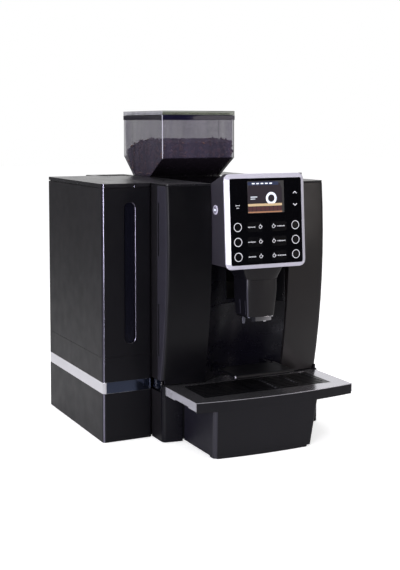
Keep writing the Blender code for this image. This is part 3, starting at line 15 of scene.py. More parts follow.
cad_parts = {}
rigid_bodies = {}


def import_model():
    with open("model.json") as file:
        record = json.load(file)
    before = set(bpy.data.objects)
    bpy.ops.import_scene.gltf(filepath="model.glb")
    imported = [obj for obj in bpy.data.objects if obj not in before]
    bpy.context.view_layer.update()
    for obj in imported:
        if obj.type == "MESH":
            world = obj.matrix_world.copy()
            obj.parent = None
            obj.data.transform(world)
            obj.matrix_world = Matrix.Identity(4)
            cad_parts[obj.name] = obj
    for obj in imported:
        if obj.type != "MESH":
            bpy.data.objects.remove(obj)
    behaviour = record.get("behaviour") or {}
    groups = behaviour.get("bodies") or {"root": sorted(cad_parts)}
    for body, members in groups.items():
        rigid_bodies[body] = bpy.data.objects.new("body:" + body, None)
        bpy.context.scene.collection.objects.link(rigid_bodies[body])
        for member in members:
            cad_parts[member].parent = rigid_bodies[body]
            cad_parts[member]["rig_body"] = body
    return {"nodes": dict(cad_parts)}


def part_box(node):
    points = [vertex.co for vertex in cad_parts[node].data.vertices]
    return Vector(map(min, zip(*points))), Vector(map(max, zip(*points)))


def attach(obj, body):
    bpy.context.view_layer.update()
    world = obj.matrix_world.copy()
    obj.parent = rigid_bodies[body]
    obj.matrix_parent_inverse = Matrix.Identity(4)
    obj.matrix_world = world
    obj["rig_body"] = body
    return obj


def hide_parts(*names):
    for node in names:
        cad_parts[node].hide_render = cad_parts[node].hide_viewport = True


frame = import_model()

log = logging.getLogger("coffee_machine")

Colour = tuple[float, float, float]
Place = tuple[float, float, float]
Span = tuple[float, float]
Test = Callable[[Vector, Vector], bool]

WHITE = (1.0, 1.0, 1.0, 1.0)
FACING = 0.9
MERGE_REACH = 0.00001
FLAT_ANGLE = 0.4
CORNER_ANGLE = 32.0
PATTERN_MIDDLE = (0.3, 0.7)


class Grain(Enum):
    """How a moulded plastic's surface was finished in the mould: relief in metres, and scale."""

    POLISHED = (0.0, 900.0)
    SATIN = (0.000006, 1400.0)
    SPARK = (0.00003, 1100.0)


class Along(Enum):
    """The way a brushed metal's lines run, as a stretch of its pattern."""

    X = (0.02, 1.0, 1.0)
    Y = (1.0, 0.02, 1.0)
    Z = (1.0, 1.0, 0.02)


class Edge(Enum):
    """How round a piece's sharp edges are: the rounding's width in metres, and its segments."""

    FAINT = (0.0001, 2)
    HAIR = (0.0002, 2)
    FINE = (0.0003, 2)
    THIN = (0.0004, 2)
    CRISP = (0.0005, 2)
    PLAIN = (0.0006, 2)
    FRAME = (0.0005, 3)
    SOFT = (0.0007, 3)
    BROAD = (0.0008, 3)


class Nodes:
    """The nodes of a material or a world, with short calls that add and feed them."""

    def __init__(self, owner: bpy.types.Material | bpy.types.World) -> None:
        """Turns on the owner's nodes."""
        owner.use_nodes = True
        self.tree = owner.node_tree

    def feed(self, socket: bpy.types.NodeSocket, value: object) -> None:
        """Links another node's socket to this one, or sets a constant on it.

        Args:
            socket: the input.
            value: another node's socket, or a constant.
        """
        if isinstance(value, bpy.types.NodeSocket):
            self.tree.links.new(value, socket)
        else:
            socket.default_value = value

    def add(self, kind: str, **values: object) -> bpy.types.Node:
        """Adds a node and sets its properties and inputs.

        Args:
            kind: the node's type after ShaderNode, such as TexNoise.
            values: properties by name, or inputs by name with underscores for spaces.

        Returns:
            The new node.
        """
        node = self.tree.nodes.new("ShaderNode" + kind)
        for name, value in values.items():
            socket = node.inputs.get(name.replace("_", " "))
            if socket is None:
                setattr(node, name, value)
            else:
                self.feed(socket, value)
        return node

    def ramp(self, value: bpy.types.NodeSocket, span: Span, low: float, high: float,
             kind: str = "SMOOTHSTEP") -> bpy.types.NodeSocket:
        """Maps a value's span to a low and a high value."""
        return self.add("MapRange", Value=value, From_Min=span[0], From_Max=span[1], To_Min=low, To_Max=high,
                        interpolation_type=kind).outputs["Result"]

    def combine(self, kind: str, first: object, second: object) -> bpy.types.NodeSocket:
        """Combines two values by a Math node.

        Args:
            kind: the node's operation, such as MULTIPLY.
            first: the first value, a socket or a constant.
            second: the second value.

        Returns:
            The socket of the result.
        """
        node = self.add("Math", operation=kind)
        self.feed(node.inputs[0], first)
        self.feed(node.inputs[1], second)
        return node.outputs["Value"]

    def mix(self, share: bpy.types.NodeSocket, first: object, second: object) -> bpy.types.NodeSocket:
        """Mixes two numbers, the first at a share of 0 and the second at 1."""
        return self.add("Mix", Factor=share, A=first, B=second).outputs["Result"]


class Recipe(Nodes):
    """One new material, with the patterns that its finish is made of."""

    def __init__(self, name: str) -> None:
        """Starts a material with a Principled shader.

        Args:
            name: the material's name.
        """
        self.material = bpy.data.materials.new(name)
        super().__init__(self.material)
        self.shader = self.tree.nodes["Principled BSDF"]

    def shade(self, **values: object) -> bpy.types.Material:
        """Sets the shader's own sockets.

        Args:
            values: socket names, with underscores for spaces, and their constants or patterns.

        Returns:
            The material.
        """
        for name, value in values.items():
            self.feed(self.shader.inputs[name.replace("_", " ")], value)
        return self.material

    def place(self, stretch: Sequence[float] = (1.0, 1.0, 1.0)) -> bpy.types.NodeSocket:
        """Reads the piece's own coordinates, stretched along the three axes."""
        return self.add("Mapping", Vector=self.add("TexCoord").outputs["Object"],
                        Scale=tuple(stretch)).outputs["Vector"]

    def noise(self, where: bpy.types.NodeSocket, scale: float, layers: float = 2.0) -> bpy.types.NodeSocket:
        """Adds a noise pattern.

        Args:
            where: the coordinates it reads.
            scale: cells per metre.
            layers: how many finer layers it adds.

        Returns:
            The pattern's value socket.
        """
        return self.add("TexNoise", Vector=where, Scale=scale, Detail=layers).outputs["Fac"]

    def spread(self, pattern: bpy.types.NodeSocket, low: float, high: float) -> bpy.types.NodeSocket:
        """Maps a pattern's middle range to a low and a high value."""
        return self.ramp(pattern, PATTERN_MIDDLE, low, high, "LINEAR")

    def blend(self, pattern: bpy.types.NodeSocket, first: Colour, second: Colour) -> bpy.types.NodeSocket:
        """Mixes two colours by a pattern.

        Args:
            pattern: the pattern's value.
            first: the colour where it is low.
            second: the colour where it is high.

        Returns:
            The colour socket.
        """
        node = self.add("ValToRGB", Fac=self.spread(pattern, 0.0, 1.0))
        for element, colour in zip(node.color_ramp.elements, (first, second)):
            element.color = (*colour, 1.0)
        return node.outputs["Color"]

    def vary(self, pattern: bpy.types.NodeSocket, colour: Colour, share: float) -> bpy.types.NodeSocket:
        """Varies a colour by a share of itself, darker where a pattern is low."""
        return self.blend(pattern, tinted(colour, -share), tinted(colour, share))

    def bump(self, height: bpy.types.NodeSocket, relief: float) -> bpy.types.NodeSocket:
        """Raises the surface by a pattern, with its relief in metres."""
        return self.add("Bump", Distance=relief, Strength=1.0, Height=height).outputs["Normal"]


def tinted(colour: Colour, share: float) -> Colour:
    """A colour made lighter or darker by a share of itself."""
    return tuple(min(1.0, channel * (1.0 + share)) for channel in colour)


@dataclass(frozen=True)
class Plastic:
    """Injection-moulded plastic, with a mould grain and slightly uneven gloss."""

    name: str
    colour: Colour
    roughness: float
    specular: float = 0.5
    grain: Grain = Grain.SATIN
    coat: float = 0.0
    mottle: float = 0.12
    haze: float = 0.04
    coat_roughness: float = 0.08
    mottle_scale: float = 9.0
    haze_scale: float = 38.0

    def make(self) -> bpy.types.Material:
        """Builds the plastic.

        Returns:
            The finished material.
        """
        recipe = Recipe(self.name)
        place = recipe.place()
        height, scale = self.grain.value
        if height:
            recipe.shade(Normal=recipe.bump(recipe.noise(place, scale, layers=1.0), height))
        cloud = recipe.noise(place, self.mottle_scale, layers=3.0)
        gloss = recipe.noise(place, self.haze_scale, layers=4.0)
        return recipe.shade(
            Base_Color=recipe.vary(cloud, self.colour, self.mottle),
            Roughness=recipe.spread(gloss, self.roughness - self.haze, self.roughness + self.haze),
            Specular_IOR_Level=self.specular, Coat_Weight=self.coat, Coat_Roughness=self.coat_roughness)


@dataclass(frozen=True)
class Metal:
    """Sheet or cast metal, brushed along one axis."""

    name: str
    colour: Colour
    roughness: float
    lines: Along = Along.X
    relief: float = 0.000004
    haze: float = 0.06
    scale: float = 2600.0
    metallic: float = 1.0
    cloud_scale: float = 14.0
    darker: float = -0.05
    lighter: float = 0.04
    least_roughness: float = 0.02

    def make(self) -> bpy.types.Material:
        """Builds the metal.

        Returns:
            The finished material.
        """
        recipe = Recipe(self.name)
        brushed = recipe.noise(recipe.place(self.lines.value), self.scale, layers=3.0)
        cloud = recipe.noise(recipe.place(), self.cloud_scale, layers=3.0)
        low = max(self.least_roughness, self.roughness - self.haze)
        dark, light = tinted(self.colour, self.darker), tinted(self.colour, self.lighter)
        return recipe.shade(
            Base_Color=recipe.blend(cloud, dark, light),
            Roughness=recipe.spread(brushed, low, self.roughness + self.haze),
            Normal=recipe.bump(brushed, self.relief), Metallic=self.metallic)


@dataclass(frozen=True)
class Clear:
    """See-through plastic, tinted, with faint flow streaks from the mould."""

    name: str
    colour: Colour
    opacity: float
    roughness: float = 0.08
    streak: float = 0.10
    specular: float = 0.5
    ior: float = 1.49
    streak_scale: float = 55.0
    haze_scale: float = 60.0
    haze_share: float = 0.4

    def make(self) -> bpy.types.Material:
        """Builds the clear plastic.

        Returns:
            The finished material.
        """
        recipe = Recipe(self.name)
        streaks = recipe.noise(recipe.place(Along.Z.value), self.streak_scale)
        haze = recipe.noise(recipe.place(), self.haze_scale)
        dull, bright = (self.roughness * (1.0 + share) for share in (-self.haze_share, self.haze_share))
        return recipe.shade(
            Base_Color=recipe.vary(streaks, self.colour, 2.0 * self.streak),
            Alpha=recipe.spread(streaks, self.opacity - self.streak / 2, self.opacity + self.streak / 2),
            Roughness=recipe.spread(haze, dull, bright), Specular_IOR_Level=self.specular, IOR=self.ior)


@dataclass(frozen=True)
class Lit:
    """A colour that glows behind the control glass: the screen's own lit picture; on the printed marks and on
    the power button's bar the glow is painted light.
    """

    name: str
    colour: Colour
    glow: float
    mottle: float = 0.05
    mottle_scale: float = 700.0
    roughness: float = 0.45
    specular: float = 0.2

    def make(self) -> bpy.types.Material:
        """Builds the lit colour.

        Returns:
            The finished material.
        """
        recipe = Recipe(self.name)
        cells = recipe.noise(recipe.place(), self.mottle_scale, layers=1.0)
        colour = recipe.vary(cells, self.colour, self.mottle)
        return recipe.shade(Base_Color=colour, Emission_Color=colour, Emission_Strength=self.glow,
                            Roughness=self.roughness, Specular_IOR_Level=self.specular)


@dataclass(frozen=True)
class Roast:
    """Roasted coffee: oily dark brown, each bean a little different."""

    name: str
    dark: Colour
    light: Colour
    tone_scale: float = 110.0
    oil_scale: float = 240.0
    oil: Span = (0.25, 0.55)
    pore_scale: float = 900.0
    pore_relief: float = 0.0001

    def make(self) -> bpy.types.Material:
        """Builds the beans' skin.

        Returns:
            The finished material.
        """
        recipe = Recipe(self.name)
        place = recipe.place()
        return recipe.shade(
            Base_Color=recipe.blend(recipe.noise(place, self.tone_scale, layers=1.0), self.dark, self.light),
            Roughness=recipe.spread(recipe.noise(place, self.oil_scale), *self.oil),
            Normal=recipe.bump(recipe.noise(place, self.pore_scale, layers=3.0), self.pore_relief))


@dataclass(frozen=True)
class Circuit:
    """Green solder mask with a fine weave of tracks."""

    name: str
    board: Colour
    track: Colour
    scale: float = 160.0
    track_width: float = 0.03
    roughness: float = 0.35
    relief: float = 0.00002
    lighter: float = 0.3

    def make(self) -> bpy.types.Material:
        """Builds the board's surface.

        Returns:
            The finished material.
        """
        recipe = Recipe(self.name)
        bricks = recipe.add("TexBrick", Vector=recipe.place(), Scale=self.scale, Mortar_Size=self.track_width,
                            Color1=(*self.board, 1.0), Color2=(*tinted(self.board, self.lighter), 1.0),
                            Mortar=(*self.track, 1.0))
        return recipe.shade(Base_Color=bricks.outputs["Color"], Roughness=self.roughness,
                            Normal=recipe.bump(bricks.outputs["Fac"], self.relief))


class Finishes:
    """Every finish on the machine, each made once when it is first asked for."""

    RECIPES = (
        Plastic("side_plastic", (0.0110, 0.0100, 0.0125), 0.42, 0.24),
        # painted shade: a darker copy of the side plastic, for the fronts of the tank and its base
        Plastic("shaded_front_plastic", (0.0036, 0.0034, 0.0052), 0.40, 0.20),
        # painted light: a lighter copy of the wing plastic, for the left wing's side faces
        Plastic("lit_strip_plastic", (0.0300, 0.0280, 0.0400), 0.36, 0.36),
        Plastic("wing_plastic", (0.0030, 0.0028, 0.0040), 0.32, 0.26),
        # painted highlight: a lighter plastic for the wings' rounded front corners
        Plastic("highlight_corner_plastic", (0.0170, 0.0160, 0.0215), 0.50, 0.10),
        # painted light: a lighter copy of the wing plastic, for the wings' upward faces
        Plastic("lit_top_plastic", (0.0360, 0.0340, 0.0480), 0.34),
        # painted light: a lighter, warmer copy of the wing plastic, for the right wing
        Plastic("lit_right_plastic", (0.0112, 0.0094, 0.0102), 0.34, 0.36),
        Plastic("gloss_cover", (0.0040, 0.0038, 0.0045), 0.05, 0.80, Grain.POLISHED, coat=1.0, haze=0.01),
        Plastic("lid_plastic", (0.0075, 0.0070, 0.0095), 0.30, 0.42),
        Plastic("bay_plastic", (0.0030, 0.0027, 0.0054), 0.28, 0.22),
        Plastic("head_plastic", (0.0290, 0.0260, 0.0370), 0.40, 0.42),
        Plastic("spout_plastic", (0.0088, 0.0078, 0.0092), 0.42, 0.34),
        # painted shade: a darker, bluer copy of the spout plastic, for the left faces
        Plastic("shaded_spout_side", (0.0060, 0.0056, 0.0090), 0.36, 0.30),
        # painted highlight: a light plastic for the spout's near corner and side ridges
        Plastic("spout_edge_highlight", (0.0330, 0.0310, 0.0480), 0.30),
        Plastic("drawer_plastic", (0.0064, 0.0060, 0.0086), 0.45, 0.26, Grain.SPARK),
        # painted light: a lighter, bluer copy of the drawer plastic, for its left faces
        Plastic("lit_drawer_side", (0.0095, 0.0085, 0.0160), 0.42, 0.30),
        # painted highlight: a lighter plastic for the drawer front's left corner
        Plastic("drawer_edge_highlight", (0.0200, 0.0185, 0.0290), 0.34, 0.45),
        Plastic("grid_plastic", (0.0038, 0.0037, 0.0048), 0.34, 0.32),
        # painted highlight: a pale plastic for the grid's slot ends and pips
        Plastic("grid_painted_highlight", (0.1100, 0.1080, 0.1280), 0.30),
        Plastic("rod_plastic", (0.0230, 0.0215, 0.0265), 0.34, 0.40),
        Plastic("base_plastic", (0.0060, 0.0058, 0.0075), 0.55, 0.30, Grain.SPARK),
        Plastic("grey_plastic", (0.22, 0.21, 0.22), 0.45, grain=Grain.SPARK),
        Plastic("pale_plastic", (0.62, 0.61, 0.58), 0.42),
        Plastic("screen_case", (0.02, 0.02, 0.022), 0.40),
        Plastic("key_plastic", (0.0022, 0.0022, 0.0030), 0.20, 0.22, Grain.POLISHED),
        Plastic("glass_black", (0.0016, 0.0016, 0.0024), 0.06, 0.20, Grain.POLISHED, haze=0.01),
        Plastic("label_panel", (0.0030, 0.0030, 0.0038), 0.16, 0.14, Grain.POLISHED),
        # painted highlight: a pale plastic for the near corner line of the hopper and its lid
        Plastic("painted_glint_plastic", (0.53, 0.52, 0.61), 0.30, 0.20, Grain.POLISHED, mottle=0.04),
        # painted highlight: a pale plastic for the ridges on the lid's finger notch
        Plastic("painted_grip_sheen", (0.30, 0.29, 0.34), 0.30, grain=Grain.POLISHED),
        Plastic("hose_rubber", (0.55, 0.54, 0.50), 0.50),
        Plastic("ring_paint", (0.68, 0.68, 0.74), 0.30, grain=Grain.POLISHED, mottle=0.03),
        Plastic("frame_paint", (0.48, 0.465, 0.55), 0.22, grain=Grain.POLISHED, coat=0.5, mottle=0.03),
        # painted reflection: a pale finish for the steel tray's left skirt
        Plastic("skirt_painted_reflection", (0.35, 0.345, 0.385), 0.30, grain=Grain.POLISHED, coat=0.3, mottle=0.06),
        Plastic("button_paint", (0.50, 0.48, 0.60), 0.25, grain=Grain.POLISHED, coat=0.5, mottle=0.03),
        Plastic("button_face", (0.17, 0.16, 0.22), 0.30, grain=Grain.POLISHED, coat=0.3, mottle=0.03),
        # painted highlight: a metal for the plastic tank's corners and window recess, to make bright edge
        # lines
        Metal("painted_edge_sheen", (0.22, 0.21, 0.28), 0.24, Along.Z, 0.000001, 0.03),
        Metal("edge_glint", (0.60, 0.59, 0.68), 0.26, Along.Z, 0.000001, 0.03),
        # painted reflection: a dark copy of the bright chrome, for the left nozzle
        Metal("shaded_chrome", (0.16, 0.16, 0.20), 0.14, Along.Z, 0.0000005, 0.02),
        # painted reflection: a dark navy copy of the band's chrome, for the faces that mirror dark
        # surroundings
        Metal("band_dark_reflection", (0.050, 0.060, 0.095), 0.10, Along.X, 0.0000005, 0.02),
        Metal("bright_chrome", (0.80, 0.79, 0.84), 0.07, Along.X, 0.0000005, 0.02),
        Metal("tray_steel", (0.56, 0.55, 0.60), 0.20, metallic=0.955),
        Metal("plain_steel", (0.50, 0.50, 0.50), 0.35, Along.Z),
        Metal("cast_alloy", (0.44, 0.44, 0.45), 0.45, Along.Z, 0.00003, scale=500.0),
        Metal("screw_steel", (0.30, 0.30, 0.31), 0.35),
        Metal("brass_pin", (0.62, 0.50, 0.26), 0.25, Along.Y),
        Clear("smoked_plastic", (0.077, 0.064, 0.106), 0.385),
        # painted shade: a dark, nearly opaque copy of the smoked plastic, for the hopper's funnel
        Clear("shaded_funnel_smoke", (0.0165, 0.0130, 0.0190), 0.94, 0.3, 0.04, 0.0),
        # painted shade: a dark, opaque copy of the smoked plastic, for the hopper's uprights and far wall
        # margins
        Clear("shaded_corner_smoke", (0.030, 0.028, 0.034), 0.80, 0.3, 0.04, 0.0),
        Clear("rim_smoke", (0.026, 0.024, 0.032), 0.96, streak=0.03, specular=0.26),
        # painted shade: a darker copy of the rim smoke, for the rim's front faces
        Clear("shaded_rim_front", (0.0085, 0.0075, 0.0240), 0.96, streak=0.03, specular=0.22),
        Clear("rib_smoke", (0.16, 0.15, 0.18), 0.50, streak=0.04),
        Clear("lid_clear", (0.130, 0.145, 0.105), 0.58, streak=0.12),
        # painted light: a lighter copy of the clear lid, for its left faces
        Clear("lit_lid_side", (0.36, 0.355, 0.40), 0.66, streak=0.08),
        Clear("window_plastic", (0.0035, 0.0035, 0.0075), 0.94, 0.12, 0.04, 0.18),
        # painted light: the printed marks glow, though no lamp is behind them
        Lit("print_white", (0.60, 0.60, 0.65), 0.32),
        Lit("screen_dark", (0.0150, 0.0115, 0.0160), 0.6),
        Lit("screen_blue", (0.016, 0.022, 0.050), 0.7),
        Lit("screen_white", (0.66, 0.70, 0.78), 0.5),
        Lit("screen_beige", (0.46, 0.34, 0.20), 0.3),
        Lit("screen_brown", (0.050, 0.018, 0.020), 0.6),
        Lit("screen_amber", (0.28, 0.14, 0.08), 0.4),
        Roast("bean_skin", (0.008, 0.004, 0.003), (0.150, 0.066, 0.040)),
        # painted shade: a very dark roast for the core that stands for the deeper beans
        Roast("shaded_bean_core", (0.004, 0.002, 0.0015), (0.010, 0.005, 0.003)),
        Circuit("circuit_board", (0.01, 0.07, 0.035), (0.05, 0.16, 0.08)),
    )

    def __init__(self) -> None:
        """Starts with no material made."""
        self.by_name = {recipe.name: recipe for recipe in self.RECIPES}
        self.made: dict[str, bpy.types.Material] = {}

    def get(self, name: str) -> bpy.types.Material:
        """Returns a finish's material, made once.

        Args:
            name: the finish's name.

        Returns:
            The material.
        """
        if name not in self.made:
            self.made[name] = self.by_name[name].make()
        return self.made[name]


def put_down() -> None:
    """Deselects everything, so the next operator acts on its own piece alone."""
    bpy.ops.object.select_all(action="DESELECT")
    bpy.context.view_layer.objects.active = None


def take(piece: bpy.types.Object) -> None:
    """Makes a piece the only selected and the active one.

    Args:
        piece: the piece.
    """
    put_down()
    piece.select_set(True)
    bpy.context.view_layer.objects.active = piece


@contextmanager
def editing(piece: bpy.types.Object, kind: str = "FACE", chosen: str = "DESELECT") -> Iterator[None]:
    """Opens a piece in edit mode, and closes it again.

    Args:
        piece: the piece to edit.
        kind: FACE, EDGE or VERT, what is selected.
        chosen: DESELECT to start with nothing selected, SELECT with everything.

    Yields:
        Nothing: the body of the with statement runs in edit mode.
    """
    take(piece)
    bpy.ops.object.mode_set(mode="EDIT")
    bpy.ops.mesh.select_mode(type=kind)
    bpy.ops.mesh.select_all(action=chosen)
    yield
    bpy.ops.object.mode_set(mode="OBJECT")


def pick_faces(piece: bpy.types.Object, test: Test) -> int:
    """Selects, in edit mode, the faces that pass a test.

    Args:
        piece: the piece in edit mode.
        test: reads a face's centre and normal.

    Returns:
        How many faces are selected.
    """
    mesh = bmesh.from_edit_mesh(piece.data)
    for face in mesh.faces:
        face.select_set(test(face.calc_center_median(), face.normal))
    bmesh.update_edit_mesh(piece.data)
    return sum(face.select for face in mesh.faces)


def pick_edges(piece: bpy.types.Object, test: Test) -> int:
    """Selects, in edit mode, the edges that pass a test.

    Args:
        piece: the piece in edit mode.
        test: reads an edge's middle and its direction.

    Returns:
        How many edges are selected.
    """
    mesh = bmesh.from_edit_mesh(piece.data)
    for edge in mesh.edges:
        first, last = (vertex.co for vertex in edge.verts)
        edge.select_set(test((first + last) / 2, (last - first).normalized()))
    bmesh.update_edit_mesh(piece.data)
    return sum(edge.select for edge in mesh.edges)


def facing(x: float = 0.0, y: float = 0.0, z: float = 0.0, least: float = FACING) -> Test:
    """A test for faces whose normal leans this way by at least a share of its length."""
    way = Vector((x, y, z))
    return lambda middle, normal: normal.dot(way) > least


def along(axis: int) -> Test:
    """A test for edges that run along one axis."""
    return lambda middle, way: abs(way[axis]) > FACING


def finish_with(piece: bpy.types.Object, kind: str, **values: object) -> None:
    """Adds a modifier to a piece and applies it.

    Args:
        piece: the piece.
        kind: the modifier's type, such as BEVEL.
        values: the modifier's settings.
    """
    take(piece)
    modifier = piece.modifiers.new(kind.lower(), kind)
    for name, value in values.items():
        setattr(modifier, name, value)
    bpy.ops.object.modifier_apply(modifier=modifier.name)


def soften(piece: bpy.types.Object, width: float, steps: int = 2) -> None:
    """Rounds a piece's sharp edges and shades it smooth between them.

    Args:
        piece: the piece.
        width: the rounding's width in metres.
        steps: the rounding's segments.
    """
    sharp = math.radians(CORNER_ANGLE)
    finish_with(piece, "BEVEL", width=width, segments=steps, limit_method="ANGLE", angle_limit=sharp,
                use_clamp_overlap=True)
    take(piece)
    bpy.ops.object.shade_smooth_by_angle(angle=sharp)
    finish_with(piece, "WEIGHTED_NORMAL", keep_sharp=True, weight=80)


def block(name: str, low: Sequence[float], high: Sequence[float]) -> bpy.types.Object:
    """Starts a piece from a cube primitive between two corners.

    Args:
        name: the piece's name.
        low: the lowest corner.
        high: the highest corner.

    Returns:
        The piece, with its size and place in its mesh.
    """
    low, high = Vector(low), Vector(high)
    put_down()
    bpy.ops.mesh.primitive_cube_add(size=1.0, location=(low + high) / 2, scale=high - low)
    return settle(name)


def rod(name: str, centre: Sequence[float], radius: float, length: float,
        way: Sequence[float] = (0.0, 0.0, 1.0), sides: int = 32) -> bpy.types.Object:
    """Starts a piece from a cylinder primitive.

    Args:
        name: the piece's name.
        centre: its middle.
        radius: its radius.
        length: its length.
        way: the direction of its axis.
        sides: how many sides it has.

    Returns:
        The piece, with its size and place in its mesh.
    """
    put_down()
    turn = Vector(way).to_track_quat("Z", "Y").to_euler()
    bpy.ops.mesh.primitive_cylinder_add(vertices=sides, radius=radius, depth=length, location=centre,
                                        rotation=turn)
    return settle(name)


def settle(name: str) -> bpy.types.Object:
    """Names the new active piece and moves its place, turn and scale into its mesh.

    Args:
        name: the piece's name.

    Returns:
        The piece.
    """
    piece = bpy.context.view_layer.objects.active
    piece.name = name
    piece.data.name = name
    bpy.ops.object.transform_apply(location=True, rotation=True, scale=True)
    return piece


def gather(name: str, pieces: Sequence[bpy.types.Object]) -> bpy.types.Object:
    """Joins several pieces into one.

    Args:
        name: the joined piece's name.
        pieces: what is joined; the first one stays.

    Returns:
        The joined piece.
    """
    put_down()
    for piece in pieces:
        piece.select_set(True)
    bpy.context.view_layer.objects.active = pieces[0]
    bpy.ops.object.join()
    return settle(name)


def copied(piece: bpy.types.Object, where: Matrix) -> bpy.types.Object:
    """Copies a piece with its own mesh.

    Args:
        piece: the piece.
        where: moves, turns and sizes the copy.

    Returns:
        The copy.
    """
    twin = piece.copy()
    twin.data = piece.data.copy()
    twin.data.transform(where)
    bpy.context.scene.collection.objects.link(twin)
    return twin


def copied_node(node: str, name: str) -> bpy.types.Object:
    """Makes a loose copy of a solid of the frame.

    Args:
        node: the solid's name.
        name: the copy's name.

    Returns:
        The copy, free of its body and of the frame's own keys.
    """
    piece = copied(frame["nodes"][node], Matrix.Identity(4))
    piece.parent = None
    piece.name = name
    for key in [key for key in piece.keys() if key.startswith("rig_")]:
        del piece[key]
    return piece


def corners(node: str) -> tuple[Vector, Vector]:
    """The lowest and highest corners of a solid of the frame."""
    low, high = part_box(node)
    return Vector(low), Vector(high)


@dataclass
class SubAssembly:
    """What every sub-assembly shares: its finishes and how a piece is fitted."""

    finishes: Finishes

    def paint(self, finish: str, *nodes: str) -> None:
        """Gives solids of the frame a better finish, and leaves their shapes alone.

        Args:
            finish: the finish's name.
            nodes: the solids' names.
        """
        for node in nodes:
            for slot in frame["nodes"][node].material_slots:
                slot.material = self.finishes.get(finish)
            log.info("painted %s with %s", node, finish)

    def fit(self, piece: bpy.types.Object, finish: str, host: str,
            stands_for: bool = False) -> bpy.types.Object:
        """Dresses a piece and lets it move with the body of the solid that carries it.

        Args:
            piece: the new piece.
            finish: the finish's name.
            host: the solid that carries it, or that it stands for.
            stands_for: whether it takes that solid's place.

        Returns:
            The piece.
        """
        piece.data.materials.clear()
        piece.data.materials.append(self.finishes.get(finish))
        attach(piece, frame["nodes"][host]["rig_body"])
        if stands_for:
            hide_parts(host)
        log.info("%s rides with %s", piece.name, host)
        return piece

    def refine(self, node: str, finish: str, edge: Edge = Edge.PLAIN,
               rim: tuple[Test, float] | None = None) -> bpy.types.Object:
        """Makes a fine copy of a solid, with its sharp edges rounded, to stand for it.

        Args:
            node: the solid's name.
            finish: the finish's name.
            edge: how round its sharp edges become.
            rim: a test for the edges that get a larger rounding first, and its width.

        Returns:
            The fine piece.
        """
        piece = copied_node(node, node + "_shell")
        with editing(piece, "VERT", "SELECT"):
            bpy.ops.mesh.customdata_custom_splitnormals_clear()
            bpy.ops.mesh.remove_doubles(threshold=MERGE_REACH)
            bpy.ops.mesh.dissolve_limited(angle_limit=math.radians(FLAT_ANGLE))
        if rim:
            with editing(piece, "EDGE"):
                count = pick_edges(piece, rim[0])
                bpy.ops.mesh.bevel(offset=rim[1], segments=4, affect="EDGES", clamp_overlap=True)
            log.info("%s has %d rim edges rounded", piece.name, count)
        soften(piece, *edge.value)
        return self.fit(piece, finish, node, stands_for=True)

    def face_finish(self, piece: bpy.types.Object, finish: str, test: Test) -> None:
        """Gives some faces of a piece a second finish.

        Args:
            piece: the piece.
            finish: the second finish's name.
            test: reads a face's centre and normal.
        """
        piece.data.materials.append(self.finishes.get(finish))
        with editing(piece):
            count = pick_faces(piece, test)
            piece.active_material_index = len(piece.data.materials) - 1
            bpy.ops.object.material_slot_assign()
        log.info("%s has %d faces in %s", piece.name, count, finish)


